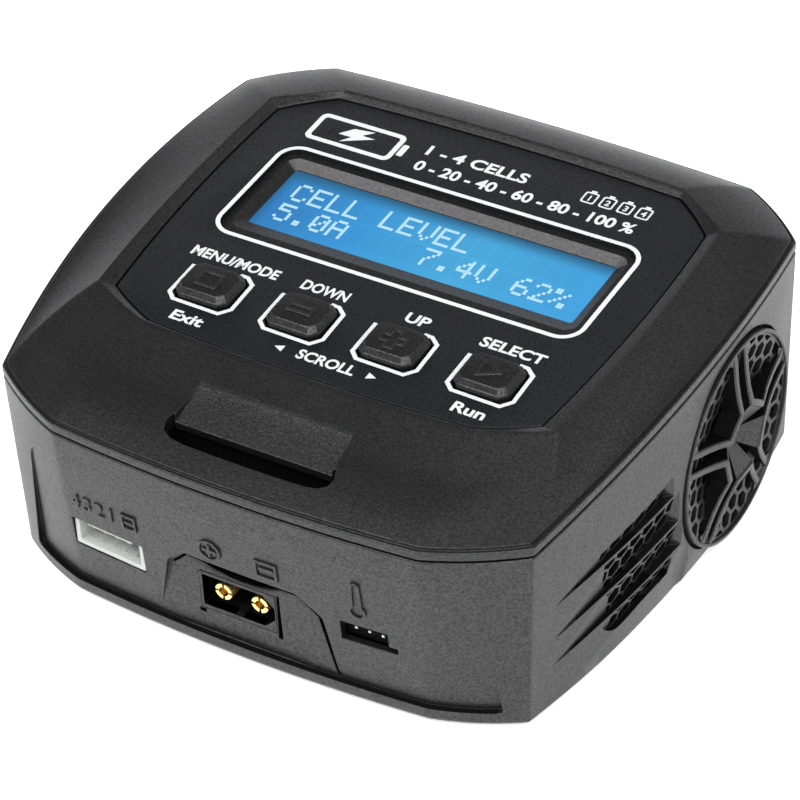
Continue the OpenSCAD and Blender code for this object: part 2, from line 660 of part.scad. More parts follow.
module at_choke() translate([-4, -14, board_top + 0.3]) children();
module choke_core() color([0.55, 0.5, 0.15]) at_choke() difference() {
  cylinder(r = 7, h = 7);
  translate([0, 0, -1]) cylinder(r = 3.4, h = 9);
}
module choke_winding() color([0.72, 0.35, 0.15]) at_choke() for (k = [0 : 11])
  rotate(k * 30) difference() {
    translate([2.6, -0.55, -0.25]) cube([5.2, 1.1, 7.5]);
    translate([3.3, -1, -0.01]) cube([3.75, 2, 7.02]);
  }

fuse_start = 14;
fuse_length = 14;
fuse_cap_l = 4.5;
module at_fuse(y) translate([-38, 0, 13]) facing_rear(y) children();
module fuse_body() color([0.85, 0.88, 0.85]) at_fuse(fuse_start)
  cylinder(r = 2.4, h = fuse_length);
module fuse_caps() color(tin) for (y = [fuse_start - fuse_cap_l, fuse_start + fuse_length])
  at_fuse(y) cylinder(r = 2.6, h = fuse_cap_l);

// Chips: [x, y] of the front left corner, size
chips = [[[-34, -18], [10, 10, 1.6]], [[-38, -2], [5, 6, 1.5]],
  [[32, -22], [6, 5, 1.5]], [[26, -40], [5, 6, 1.5]]];
module controller_chips() color([0.05, 0.05, 0.055])
  for (c = chips) at_each([c[0]], board_top) cube(c[1]);

module buzzer() color([0.04, 0.04, 0.045]) translate([35, -8, board_top]) difference() {
  cylinder(r = 4.6, h = 6);
  translate([0, 0, 4]) cylinder(r = 1, h = 3);
}

// Flat cable from the main board up to the control board, [y, z]
cable_profile = [[-36.6, 9.7], [-36, 9.7], [-36, 29.6], [-25.4, 32.2],
  [-23.4, 32.4], [-23.4, 32.95], [-25.6, 32.8], [-36.6, 30.2]];
module link_cable() color([0.75, 0.75, 0.72]) translate([-26, 0, 0]) rotate([90, 0, 90])
  linear_extrude(14) polygon(cable_profile);

// ---- underside ----
module case_screws() color([0.25, 0.25, 0.26]) at_each(boss_places) difference() {
  union() {
    translate([0, 0, 2]) cylinder(r = 2.8, h = 2.2);
    translate([0, 0, 4.1]) cylinder(r = 1.2, h = 27);
  }
  // cross slot
  block([0.7, 3.2, 1.6], z = 1.5);
  block([3.2, 0.7, 1.6], z = 1.5);
}
module rubber_feet() color([0.03, 0.03, 0.03]) at_each(foot_places) cylinder(r = 4.6, h = 1.75);

bottom_shell();
top_shell();
control_label();
fan_grille();
key_stop();
key_dec();
key_inc();
key_start();
plunger_stop();
plunger_dec();
plunger_inc();
plunger_start();
tact_switches();
control_pcb();
control_pcb_screws();
lcd_glass();
lcd_frame();
lcd_pcb();
lcd_header();
fan_frame();
fan_rotor();
fan_shaft();
fan_screws();
main_pcb();
main_pcb_screws();
output_socket();
output_contacts();
balance_socket();
balance_pins();
temp_socket();
temp_pins();
ac_inlet();
ac_pins();
transformer_core();
transformer_winding();
input_capacitor();
output_capacitors();
capacitor_caps();
heatsink();
power_transistors();
choke_core();
choke_winding();
fuse_body();
fuse_caps();
controller_chips();
buzzer();
link_cable();
case_screws();
rubber_feet();
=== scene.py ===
"""Compact battery charger.

A two-part black case carries a label plate with a blue display and four keys on top, three
sockets in the front, a fan grille in the right side and louvred vents in both sides.
x runs to the right, y to the rear and z up; the front faces -y and the base is near z = 0.
Shapes are drawn in millimetres and scaled by MM when a mesh is made.
"""
import math

import bpy
import bmesh
import numpy as np
from mathutils import Matrix, Vector


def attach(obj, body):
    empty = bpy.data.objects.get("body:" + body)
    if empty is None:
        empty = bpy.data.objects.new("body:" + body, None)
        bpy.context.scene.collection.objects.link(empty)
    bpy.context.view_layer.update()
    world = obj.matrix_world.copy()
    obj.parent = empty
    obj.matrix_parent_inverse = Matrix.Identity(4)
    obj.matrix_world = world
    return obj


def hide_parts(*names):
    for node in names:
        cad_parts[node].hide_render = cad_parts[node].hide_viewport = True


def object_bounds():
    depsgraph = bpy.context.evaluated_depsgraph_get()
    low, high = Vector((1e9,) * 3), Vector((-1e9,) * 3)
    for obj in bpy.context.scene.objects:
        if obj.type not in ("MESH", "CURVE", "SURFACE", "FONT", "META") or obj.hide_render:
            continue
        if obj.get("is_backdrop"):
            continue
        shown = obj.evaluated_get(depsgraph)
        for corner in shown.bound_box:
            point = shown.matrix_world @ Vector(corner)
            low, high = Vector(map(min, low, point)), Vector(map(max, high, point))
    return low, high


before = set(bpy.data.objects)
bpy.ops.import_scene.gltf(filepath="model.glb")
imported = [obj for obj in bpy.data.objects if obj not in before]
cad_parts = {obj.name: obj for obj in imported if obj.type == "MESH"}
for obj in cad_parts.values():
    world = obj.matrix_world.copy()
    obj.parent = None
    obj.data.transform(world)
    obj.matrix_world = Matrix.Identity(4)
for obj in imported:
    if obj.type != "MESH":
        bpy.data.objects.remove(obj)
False  # the build is the same for quick and full runs


def plain(value):
    """Turn bounds into plain lists and floats that JSON can hold."""
    if isinstance(value, dict):
        return {str(key): plain(item) for key, item in value.items()}
    if isinstance(value, (list, tuple, Vector)):
        return [plain(item) for item in value]
    return float(value)


size = {"after_load": plain(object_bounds())}

# ------------------------------------------------------------------ driving dimensions
MM = 0.001

# label plate: height at y = 0 and rise towards the rear
PLATE_Z = 46.71
PLATE_SLOPE = 0.0357
PLATE_TILT = math.atan(PLATE_SLOPE)
TILT_COS, TILT_SIN = math.cos(PLATE_TILT), math.sin(PLATE_TILT)

# part line between the mouldings: heights of its two sides, slope along y, arch over each side
PART_LOW_Z, PART_HIGH_Z = 40.36, 40.83
PART_SLOPE, PART_ARCH = 0.055, 2.35
WALL = 2  # inset of the inner faces

# display: opening in the label and window, in plate coordinates
DISPLAY_W, DISPLAY_H, DISPLAY_Y = 71.7, 26.05, 11.99
WINDOW_W, WINDOW_H, WINDOW_Y = 64.6, 16.1, 13.35
GLASS_DEPTH = 2.2

KEY_PITCH = 18.35
KEY_X = [0.95 + (k - 1.5) * KEY_PITCH for k in range(4)]
KEY_Y = -16.0

# fan axis, and the x of the grille's rim
FAN_Y, FAN_Z, FAN_X = 15.8, 21.4, 59.0

# main output socket
OUTPUT_X, SOCKET_Z = -1.1, 13.0

# Plan outlines, mirrored in x. Columns: half-width and -y of the front edge, -y and half-width
# at the front end of a side, y and half-width at its rear end, half-width and y of the rear edge.
OUT_PART = np.array([35.46, 52.87, 43.98, 51.82, 42.98, 56.44, 42.94, 53.08])
OUT_BASE = np.array([35.1, 51.47, 44.5, 50.42, 42.6, 55.34, 42.5, 52.18])
OUT_SHOULDER = np.array([33.6, 40.5, 33.0, 49.3, 38.8, 51.6, 38.6, 48.0])
OUT_RIM = np.array([32.3, 28.9, 23.2, 45.1, 34.8, 45.8, 34.4, 42.8])
OUT_LABEL = np.array([31.6, 27.75, 22.35, 41.8, 33.4, 43.4, 34.75, 40.9])
INSET_SHARE = np.array([0.25, 1, 0.6, 1, 0.6, 1, 0.25, 1])

# how far the edges bow outwards: front, corners, sides, rear
SAG_WALL = [1.72, 0.7, 3.99, 1.45]
SAG_SHOULDER = [1.3, 0.5, 2.4, 1.2]
SAG_RIM = [1.0, 0.3, 1.2, 1.0]
SAG_LABEL = [1.0, 0.3, 1.3, 1.0]

EDGE_POINTS = (52, 12, 76, 12, 60, 12, 76, 12)
SOFT = 0.6  # half-length of the smoothing run along an outline
SOFT_LABEL = 0.45

SCREW_WELLS = ((-40, -41.5), (40, -41.5), (-46, 41.5), (46, 41.5))
FEET = ((-29, -41), (29, -41), (-34, 42), (34, 42))

# ------------------------------------------------------------------ shader helpers
MAT = {}


class Graph:
    """Shorthand for wiring the nodes of one shader tree."""

    def __init__(self, tree):
        self.tree = tree

    def feed(self, socket, value):
        """Link an output into a socket, or set the socket's value."""
        if isinstance(value, bpy.types.NodeSocket):
            self.tree.links.new(value, socket)
        else:
            socket.default_value = value

    def set(self, node, **inputs):
        """Feed a node's inputs; underscores stand for spaces in their names."""
        for name, value in inputs.items():
            self.feed(node.inputs[name.replace("_", " ")], value)
        return node

    def add(self, kind, **inputs):
        return self.set(self.tree.nodes.new(kind), **inputs)

    def operate(self, kind, operation, *values):
        node = self.add(kind)
        node.operation = operation
        for socket, value in zip(node.inputs, values):
            self.feed(socket, value)
        return node

    def math(self, operation, a, b):
        return self.operate("ShaderNodeMath", operation, a, b).outputs[0]

    def product(self, a, b):
        return self.math("MULTIPLY", a, b)

    def sum(self, a, b):
        return self.math("ADD", a, b)

    def vector(self, operation, *values):
        return self.operate("ShaderNodeVectorMath", operation, *values)

    def coords(self, output="Object"):
        return self.add("ShaderNodeTexCoord").outputs[output]

    def noise(self, coords, scale, detail, roughness=0.5):
        node = self.add("ShaderNodeTexNoise", Vector=coords, Scale=scale, Detail=detail,
                        Roughness=roughness)
        return node.outputs[0]

    def mix(self, factor, a, b):
        node = self.add("ShaderNodeMix")
        node.data_type = "RGBA"
        # inputs 6 and 7 are the colour pair
        for index, value in ((0, factor), (6, a), (7, b)):
            self.feed(node.inputs[index], value)
        return node.outputs[2]

    def ramp(self, source, stops):
        node = self.add("ShaderNodeValToRGB")
        elements = node.color_ramp.elements
        for element, (position, colour) in zip(elements, (stops[0], stops[-1])):
            element.position, element.color = position, colour
        for position, colour in stops[1:-1]:
            elements.new(position).color = colour
        self.feed(node.inputs[0], source)
        return node.outputs[0]


def rgba(rgb, gain=1.0, lift=0.0):
    return tuple(min(1.0, c * gain + lift) for c in rgb) + (1.0,)


def grey(level):
    return (level, level, level, 1.0)


def new_material(name):
    """Register a material and return its graph and its principled shader."""
    material = bpy.data.materials.new(name)
    material.use_nodes = True
    material.node_tree.nodes.clear()
    MAT[name] = material
    graph = Graph(material.node_tree)
    output = graph.add("ShaderNodeOutputMaterial")
    shader = graph.add("ShaderNodeBsdfPrincipled")
    graph.feed(output.inputs[0], shader.outputs[0])
    return graph, shader


def plastic(name, colour, colour2, rough, rough_var=0.06, grain=3800.0, grain_height=0.5,
            bevel=0.0, spec=0.5, blotch=90.0, edge_wear_and_sheen=0.0, grain_depth=0.00006):
    """Moulded plastic: fine grain, cloudy colour and gloss, pale specks, and edges lightened partly
    as wear and partly as painted highlight.

    grain and blotch are noise scales, bevel is in mm and grain_depth in metres.
    """
    graph, shader = new_material(name)
    coords = graph.coords()
    fine = graph.noise(coords, grain, detail=3.0, roughness=0.6)
    cloud = graph.noise(coords, blotch, detail=4.0, roughness=0.55)
    coarse = graph.noise(coords, grain * 0.6, detail=2.0)
    gloss = graph.noise(coords, grain * 0.62, detail=2.0, roughness=0.7)

    specks = graph.ramp(fine, [(0.45, grey(0.0)), (0.75, grey(1.0))])
    base = graph.mix(cloud, rgba(colour), rgba(colour2))
    base = graph.mix(graph.product(specks, 0.35), base, rgba(colour2, gain=1.9, lift=0.006))
    height = graph.sum(graph.product(fine, 0.6), graph.product(coarse, 0.8))
    bump = graph.add("ShaderNodeBump", Strength=grain_height, Distance=grain_depth, Height=height)
    if bevel > 0:
        rounded = graph.add("ShaderNodeBevel", Radius=bevel * MM)
        rounded.samples = 6
        graph.set(bump, Normal=rounded.outputs[0])
        # edges show where the rounded normal leaves the true one
        true_normal = graph.add("ShaderNodeNewGeometry").outputs["Normal"]
        facing = graph.vector("DOT_PRODUCT", rounded.outputs[0], true_normal).outputs["Value"]
        edge = graph.ramp(facing, [(0.90, grey(1.0)), (0.995, grey(0.0))])
        # edges lightened in colour: part wear, part painted highlight
        worn_and_lit_edge = graph.product(edge, graph.product(cloud, edge_wear_and_sheen))
        base = graph.mix(worn_and_lit_edge, base, rgba(colour2, gain=5, lift=0.03))
    roughness = graph.sum(graph.product(cloud, rough_var * 2), rough - rough_var)
    roughness = graph.sum(roughness, graph.product(coarse, 0.06))
    sparkle = graph.ramp(gloss, [(0.28, grey(0.45)), (0.72, grey(1.55))])
    graph.set(shader, Base_Color=base, Roughness=roughness,
              Specular_IOR_Level=graph.product(sparkle, spec), Normal=bump.outputs[0])


def metal(name, colour, rough, scratch, tint, tarnish, stretch=(1.0, 1.0, 0.08)):
    """Scratched metal with tarnished patches; stretch draws the scratches out along an axis."""
    graph, shader = new_material(name)
    coords = graph.coords()
    mapping = graph.add("ShaderNodeMapping", Scale=stretch, Vector=coords)
    scratches = graph.noise(mapping.outputs[0], scratch, detail=4.0, roughness=0.7)
    patches = graph.noise(coords, 220.0, detail=5.0, roughness=0.6)
    patches = graph.ramp(patches, [(0.45, grey(0.0)), (0.8, grey(1.0))])
    bump = graph.add("ShaderNodeBump", Strength=0.25, Distance=0.00003, Height=scratches)
    graph.set(shader, Metallic=1.0, Normal=bump.outputs[0],
              Base_Color=graph.mix(graph.product(patches, tarnish), rgba(colour), rgba(tint)),
              Roughness=graph.sum(graph.product(scratches, 0.25), rough - 0.1))


def glass(name, tint, rough):
    graph, shader = new_material(name)
    cloud = graph.noise(graph.coords(), 180.0, detail=4.0, roughness=0.6)
    bump = graph.add("ShaderNodeBump", Strength=0.05, Distance=0.00002, Height=cloud)
    graph.set(shader, Base_Color=graph.mix(cloud, rgba(tint), rgba(tint, gain=0.93)),
              Roughness=graph.sum(graph.product(cloud, 0.08), rough),
              Transmission_Weight=1.0, IOR=1.49, Normal=bump.outputs[0])


def backlight(name, gain):
    """Lit display: deeper blue at the left, with painted shadow of the bezel dimming it along the
    rear and left edges of the window.
    """
    graph, shader = new_material(name)
    coords = graph.coords()
    place = graph.add("ShaderNodeSeparateXYZ", Vector=coords)
    x, y = place.outputs[0], place.outputs[1]
    half = WINDOW_W / 2 * MM
    wobble = graph.math("SUBTRACT", graph.noise(coords, 60.0, detail=2.0), 0.5)
    wobble = graph.product(wobble, 0.16)
    from_left = graph.sum(x, half)
    across = graph.product(from_left, 1 / (2 * half))
    blues = ((0.0, (0.026, 0.25, 0.66)), (0.26, (0.043, 0.40, 0.90)),
             (0.62, (0.082, 0.545, 0.973)), (1.0, (0.06, 0.47, 0.965)))
    blue = graph.ramp(graph.sum(across, wobble), [(at, rgba(rgb, gain)) for at, rgb in blues])
    rear_edge = (WINDOW_Y + WINDOW_H / 2) * MM
    # the painted edge shadows of the bezel are 3.2 mm deep at the rear and 1.6 mm at the left
    rear = graph.product(graph.math("SUBTRACT", rear_edge, y), 1 / 0.0032)
    left = graph.product(from_left, 1 / 0.0016)
    rear = graph.ramp(rear, [(0.0, grey(0.0)), (0.3, grey(0.3)), (1.0, grey(1.0))])
    left = graph.ramp(left, [(0.0, grey(0.35)), (1.0, grey(1.0))])
    glow = graph.mix(graph.product(rear, left), rgba((0.017, 0.127, 0.24), gain), blue)
    speckle = graph.noise(coords, 900.0, detail=3.0)
    graph.set(shader, Base_Color=(0.01, 0.03, 0.06, 1), Specular_IOR_Level=0.3,
              Roughness=graph.sum(graph.product(speckle, 0.1), 0.25),
              Emission_Color=glow, Emission_Strength=0.68)


def lit_dot(name, colour, strength):
    graph, shader = new_material(name)
    cloud = graph.noise(graph.coords(), 500.0, detail=2.0)
    graph.set(shader, Base_Color=(0.02, 0.05, 0.08, 1),
              Emission_Color=graph.mix(cloud, rgba(colour), rgba(colour, gain=0.86)),
              Roughness=graph.sum(graph.product(cloud, 0.1), 0.3),
              Emission_Strength=strength)


# ------------------------------------------------------------------ materials
plastic("case_plastic", (0.0036, 0.0038, 0.0041), (0.0048, 0.0047, 0.0050), rough=0.35,
        rough_var=0.05, grain=3400.0, grain_height=0.6, bevel=0.28, blotch=70.0, edge_wear_and_sheen=0.25,
        grain_depth=0.00007)
plastic("case_plastic_grille", (0.007, 0.007, 0.0074), (0.0095, 0.0092, 0.0095), rough=0.36,
        rough_var=0.05, grain=4200.0, grain_height=0.6, bevel=0.18, blotch=120.0, edge_wear_and_sheen=0.3)
plastic("label_film", (0.0030, 0.0034, 0.0046), (0.0042, 0.0046, 0.0060), rough=0.38,
        rough_var=0.04, grain=4200.0, bevel=0.12, spec=0.42, blotch=45.0)
# paler plastic for the rear slope of the display surround, a painted highlight
plastic("bezel_painted_highlight", (0.05, 0.048, 0.049), (0.062, 0.058, 0.06), rough=0.5,
        rough_var=0.05, grain=3000.0, bevel=0.2, blotch=70.0, edge_wear_and_sheen=0.2)
# near-black plastic for the walls of the key wells, painted shade
plastic("key_well_painted_shade", (0.0008, 0.0008, 0.0008), (0.0012, 0.0012, 0.0012), rough=0.7,
        rough_var=0.05, grain=3000.0, grain_height=0.3, spec=0.02, blotch=160.0)
plastic("key_plastic", (0.0028, 0.0028, 0.0030), (0.0040, 0.0040, 0.0042), rough=0.36,
        grain=3600.0, grain_height=0.35, bevel=0.2, blotch=160.0, edge_wear_and_sheen=0.3)
plastic("white_ink", (0.60, 0.61, 0.62), (0.66, 0.66, 0.66), rough=0.45,
        rough_var=0.05, grain=5200.0, grain_height=0.25, spec=0.4, blotch=300.0)
plastic("black_nylon", (0.01, 0.01, 0.0105), (0.014, 0.014, 0.0145), rough=0.4,
        rough_var=0.08, grain=2600.0, grain_height=0.4, bevel=0.12, blotch=150.0, edge_wear_and_sheen=0.2)
# near-black plastic, used as painted shade in the vent holes, socket recess, slots, pocket and
# cavity, and for the temperature socket
plastic("shadow_nylon", (0.0015, 0.0015, 0.0016), (0.0025, 0.0025, 0.0025), rough=0.6,
        rough_var=0.08, grain=2600.0, grain_height=0.4, spec=0.08, blotch=150.0)
plastic("white_nylon", (0.40, 0.41, 0.40), (0.34, 0.35, 0.335), rough=0.38,
        rough_var=0.08, grain=2400.0, grain_height=0.25, bevel=0.15, blotch=200.0)
plastic("foot_rubber", (0.012, 0.012, 0.012), (0.02, 0.02, 0.02), rough=0.75,
        rough_var=0.08, grain=2400.0, grain_height=0.8, spec=0.3, blotch=250.0)
metal("gold_contact", (0.98, 0.74, 0.32), rough=0.26, scratch=1800.0,
      tint=(0.72, 0.45, 0.16), tarnish=0.45)
metal("tinned_steel", (0.78, 0.78, 0.77), rough=0.32, scratch=1500.0,
      tint=(0.5, 0.49, 0.47), tarnish=0.4)
metal("screw_steel", (0.33, 0.33, 0.34), rough=0.38, scratch=1500.0,
      tint=(0.16, 0.14, 0.13), tarnish=0.5)
metal("aluminium", (0.8, 0.81, 0.82), rough=0.42, scratch=900.0,
      tint=(0.6, 0.6, 0.6), tarnish=0.3, stretch=(1.0, 0.06, 1.0))
metal("copper_wire", (0.82, 0.4, 0.2), rough=0.25, scratch=2200.0,
      tint=(0.42, 0.16, 0.08), tarnish=0.5)
metal("black_steel", (0.05, 0.05, 0.053), rough=0.45, scratch=1200.0,
      tint=(0.03, 0.03, 0.03), tarnish=0.5)
plastic("board", (0.012, 0.085, 0.035), (0.02, 0.12, 0.055), rough=0.35,
        rough_var=0.08, grain=1800.0, blotch=400.0)
plastic("ferrite", (0.035, 0.032, 0.032), (0.06, 0.056, 0.054), rough=0.7,
        rough_var=0.1, grain=2200.0, grain_height=0.9, spec=0.35, blotch=300.0)
plastic("yellow_tape", (0.78, 0.56, 0.05), (0.86, 0.66, 0.1), rough=0.35,
        rough_var=0.08, grain=900.0, grain_height=0.4, blotch=200.0)
plastic("capacitor_sleeve", (0.012, 0.02, 0.07), (0.018, 0.03, 0.1), rough=0.28,
        rough_var=0.08, grain=1400.0, grain_height=0.3, blotch=260.0)
plastic("cable_grey", (0.32, 0.32, 0.32), (0.4, 0.4, 0.39), rough=0.5,
        rough_var=0.08, grain=1500.0, spec=0.4, blotch=300.0)
glass("fuse_glass", tint=(0.9, 0.95, 0.93), rough=0.03)
backlight("lcd_backlight", gain=1.0)
lit_dot("lcd_dot", (0.55, 0.86, 1.0), strength=0.92)
backlight("lcd_cell", gain=0.93)

# ------------------------------------------------------------------ case outlines


def spacing(count):
    """Edge stations, drawn towards both ends."""
    u = np.arange(count) / count
    return 0.45 * u + 0.55 * (0.5 - 0.5 * np.cos(np.pi * u))


def inset(outline, amount):
    return outline - INSET_SHARE * amount


def corners(outline):
    front_w, front_y, side_y0, side_w0, side_y1, side_w1, rear_w, rear_y = outline
    right = [(front_w, -front_y), (side_w0, -side_y0), (side_w1, side_y1), (rear_w, rear_y)]
    left = [(-x, y) for x, y in right]
    return np.array([left[0]] + right + left[:0:-1], float)


def ring(outline, sag, soft):
    """Smoothed xy outline, and an arch factor that peaks midway along each side."""
    corner = corners(outline)
    front, angle, side, rear = sag
    bows = [front, angle, side, angle, rear, angle, side, angle]
    points, arch = [], []
    for e in range(8):
        start = corner[e]
        along = corner[(e + 1) % 8] - start
        outward = np.array([along[1], -along[0]]) / np.hypot(*along)
        t = spacing(EDGE_POINTS[e])
        points.append(start + along * t[:, None] + outward * (4 * bows[e] * t * (1 - t))[:, None])
        arch.append(4 * t * (1 - t) if e in (2, 6) else 0 * t)
    points = np.vstack(points)
    steps = np.hypot(*(np.roll(points, -1, 0) - points).T)
    run = np.concatenate([[0], np.cumsum(steps)])
    closed = np.vstack([points, points[:1]])
    smooth = np.zeros_like(points)
    total = 0
    # the two ends of the window carry no weight
    for d in np.linspace(-1, 1, 9)[1:-1]:
        weight = 1 + math.cos(math.pi * d)
        at = (run[:-1] + d * soft) % run[-1]
        for axis in (0, 1):
            smooth[:, axis] += weight * np.interp(at, run, closed[:, axis])
        total += weight
    return smooth / total, np.concatenate(arch)


def row(outline, sag, z, slope=0.0, arch=0.0, soft=SOFT):
    """Outline as xyz points at height z, sloping with y and arched over the sides."""
    points, factor = ring(outline, sag, soft)
    return np.column_stack([points, z + slope * points[:, 1] + arch * factor])


def base_row(amount, z):
    return row(inset(OUT_BASE, amount), SAG_WALL, z)


def part_row(amount, z):
    return row(inset(OUT_PART, amount), SAG_WALL, z, PART_SLOPE, PART_ARCH)


def step01(t):
    t = np.clip(t, 0.0, 1.0)
    return t * t * (3 - 2 * t)


def bulge(y, z):
    """How far the side walls swell around the fan."""
    along = step01((np.asarray(y) + 42.0) / 46.0) * step01((44.0 - np.asarray(y)) / 22.0)
    up = np.sin(np.pi * np.clip((np.asarray(z) - 1.9) / 38.0, 0.0, 1.0)) ** 0.8
    return 1.35 * along * up


def side_x(outline, y):
    """Half-width of an outline at y, and the place along its side."""
    _, _, side_y0, side_w0, side_y1, side_w1, _, _ = outline
    t = (y + side_y0) / (side_y1 + side_y0)
    return side_w0 + (side_w1 - side_w0) * t + 4 * SAG_WALL[2] * t * (1 - t), t


def wall_x(y, z):
    """Outside of the right wall."""
    base, _ = side_x(OUT_BASE, y)
    part, t = side_x(OUT_PART, y)
    foot_z = 1.8
    part_z = 40.53 + PART_SLOPE * y + PART_ARCH * 4 * t * (1 - t)
    return base + (part - base) * (z - foot_z) / (part_z - foot_z) + float(bulge(y, z))


# ------------------------------------------------------------------ flat outlines


def rect(x0, y0, x1, y1):
    return [(x0, y0), (x1, y0), (x1, y1), (x0, y1)]


def centred(half_w, half_h):
    return rect(-half_w, -half_h, half_w, half_h)


def round_rect(width, height, radius, cx=0.0, cy=0.0, steps=8):
    out = []
    for sx, sy, start in ((1, 1, 0), (-1, 1, 90), (-1, -1, 180), (1, -1, 270)):
        for i in range(steps + 1):
            a = math.radians(start + 90 * i / steps)
            out.append((cx + sx * (width / 2 - radius) + radius * math.cos(a),
                        cy + sy * (height / 2 - radius) + radius * math.sin(a)))
    return out


def round_poly(outline, radius, steps=5):
    """Round every corner of a closed outline."""
    out = []
    count = len(outline)
    for i in range(count):
        p = np.array(outline[i], float)
        a = np.array(outline[i - 1], float) - p
        b = np.array(outline[(i + 1) % count], float) - p
        len_a, len_b = np.hypot(*a), np.hypot(*b)
        reach = min(radius, len_a * 0.45, len_b * 0.45)
        start, end = p + a / len_a * reach, p + b / len_b * reach
        for j in range(steps + 1):
            t = j / steps
            out.append(tuple((1 - t) ** 2 * start + 2 * t * (1 - t) * p + t * t * end))
    return out


def octagon(w, h, c):
    """Rectangle of half-sizes w and h with its corners cut by c."""
    return [(-w + c, -h), (w - c, -h), (w, -h + c), (w, h - c),
            (w - c, h), (-w + c, h), (-w, h - c), (-w, -h + c)]


def circle(radius, count, cx=0.0, cy=0.0, start=0.0):
    angles = [start + 2 * math.pi * i / count for i in range(count)]
    return [(cx + radius * math.cos(a), cy + radius * math.sin(a)) for a in angles]


def plus(a, w):
    """Plus sign of reach a and half-thickness w."""
    return [(-w, -a), (w, -a), (w, -w), (a, -w), (a, w), (w, w),
            (w, a), (-w, a), (-w, w), (-a, w), (-a, -w), (-w, -w)]


def moved(outline, dx, dy):
    return [(dx + p[0], dy + p[1]) for p in outline]


def area(outline):
    """Signed area, positive when counter-clockwise."""
    pairs = zip(outline, outline[1:] + outline[:1])
    return 0.5 * sum(p[0] * q[1] - q[0] * p[1] for p, q in pairs)


def wound(outline):
    """The outline taken counter-clockwise."""
    return outline if area(outline) > 0 else outline[::-1]


def clip(outline, normal, limit):
    """Keep the part of a convex outline where normal . p <= limit."""
    out = []
    for i, p in enumerate(outline):
        q = outline[(i + 1) % len(outline)]
        over_p = normal[0] * p[0] + normal[1] * p[1] - limit
        over_q = normal[0] * q[0] + normal[1] * q[1] - limit
        if over_p <= 0:
            out.append(p)
        if (over_p < 0 < over_q) or (over_q < 0 < over_p):
            t = over_p / (over_p - over_q)
            out.append((p[0] + (q[0] - p[0]) * t, p[1] + (q[1] - p[1]) * t))
    return out


# ------------------------------------------------------------------ placements: (u, v, w) to xyz


def as_drawn(x, y, z):
    return (x, y, z)


def on_panel(x, y, z):
    """From the tilted label plate, z above its face."""
    return (x, y * TILT_COS - z * TILT_SIN, PLATE_Z + y * TILT_SIN + z * TILT_COS)


def on_front(u, v, w):
    """Drawn in x and z, with w towards the front."""
    return (u, -w, v)


def on_output(u, v, w):
    return (OUTPUT_X + u, -w, SOCKET_Z + v)


def on_fan(u, v, w):
    return (w, FAN_Y + u, FAN_Z + v)


def upright(place):
    """Draw in x and z of a placement, with w along its y."""
    return lambda u, v, w: place(u, w, v)


def turned(x0, y0, z0, degrees):
    """Placement at a point, turned about z."""
    c, s = math.cos(math.radians(degrees)), math.sin(math.radians(degrees))
    return lambda x, y, z: (x0 + x * c - y * s, y0 + x * s + y * c, z0 + z)


on_balance = turned(-27.1, -51.5, 15.4, -4.5)
on_temp = turned(24.3, -51.2, 16.1, 2)
standing = upright(as_drawn)

# ------------------------------------------------------------------ solids, as (vertices, faces)


def level(outline, w, place=as_drawn):
    return np.array([place(p[0], p[1], w) for p in outline])


def loft(rows, cap0=True, cap1=True, closed=False):
    n, m = len(rows[0]), len(rows)
    faces = []
    for j in range(m if closed else m - 1):
        a, b = j * n, ((j + 1) % m) * n
        for i in range(n):
            k = (i + 1) % n
            faces.append((a + i, a + k, b + k, b + i))
    if cap0 and not closed:
        faces.append(tuple(range(n))[::-1])
    if cap1 and not closed:
        faces.append(tuple(range((m - 1) * n, m * n)))
    return np.vstack(rows), faces


def prism(outline, low, high, place=as_drawn):
    n = len(outline)
    faces = [tuple(range(n))[::-1], tuple(range(n, 2 * n))]
    faces += [(i, (i + 1) % n, n + (i + 1) % n, n + i) for i in range(n)]
    return np.vstack([level(outline, low, place), level(outline, high, place)]), faces


def box(x0, y0, z0, x1, y1, z1, place=as_drawn):
    return prism(rect(x0, y0, x1, y1), z0, z1, place)


def border(outer, inner, low, high, place):
    """Flat ring between two outlines with matching points."""
    n = len(outer)
    faces = []
    for i in range(n):
        k = (i + 1) % n
        faces += [(i, k, n + k, n + i), (2 * n + i, 2 * n + k, k, i),
                  (n + i, n + k, 3 * n + k, 3 * n + i),
                  (2 * n + k, 2 * n + i, 3 * n + i, 3 * n + k)]
    rows = [level(o, w, place) for w in (high, low) for o in (outer, inner)]
    return np.vstack(rows), faces


def slab(place, points, bottom):
    """Block under (u, v, x) points, with a flat underside at x = bottom."""
    n = len(points)
    verts = [place(*p) for p in points] + [place(u, v, bottom) for u, v, _ in points]
    faces = [tuple(range(n)), tuple(range(2 * n - 1, n - 1, -1))]
    return verts, faces + [(i, n + i, n + (i + 1) % n, (i + 1) % n) for i in range(n)]


def join(shapes):
    verts, faces = [], []
    for shape_verts, shape_faces in shapes:
        start = len(verts)
        verts += [tuple(p) for p in shape_verts]
        faces += [tuple(i + start for i in face) for face in shape_faces]
    return verts, faces


def curve_shape(curve):
    """The mesh of a curve or text, in the curve's units."""
    obj = bpy.data.objects.new(curve.name, curve)
    bpy.context.scene.collection.objects.link(obj)
    bpy.context.view_layer.update()
    depsgraph = bpy.context.evaluated_depsgraph_get()
    mesh = bpy.data.meshes.new_from_object(obj.evaluated_get(depsgraph))
    verts = np.array([v.co for v in mesh.vertices]).reshape(-1, 3)
    faces = [tuple(face.vertices) for face in mesh.polygons]
    bpy.data.objects.remove(obj)
    bpy.data.meshes.remove(mesh)
    return verts, faces


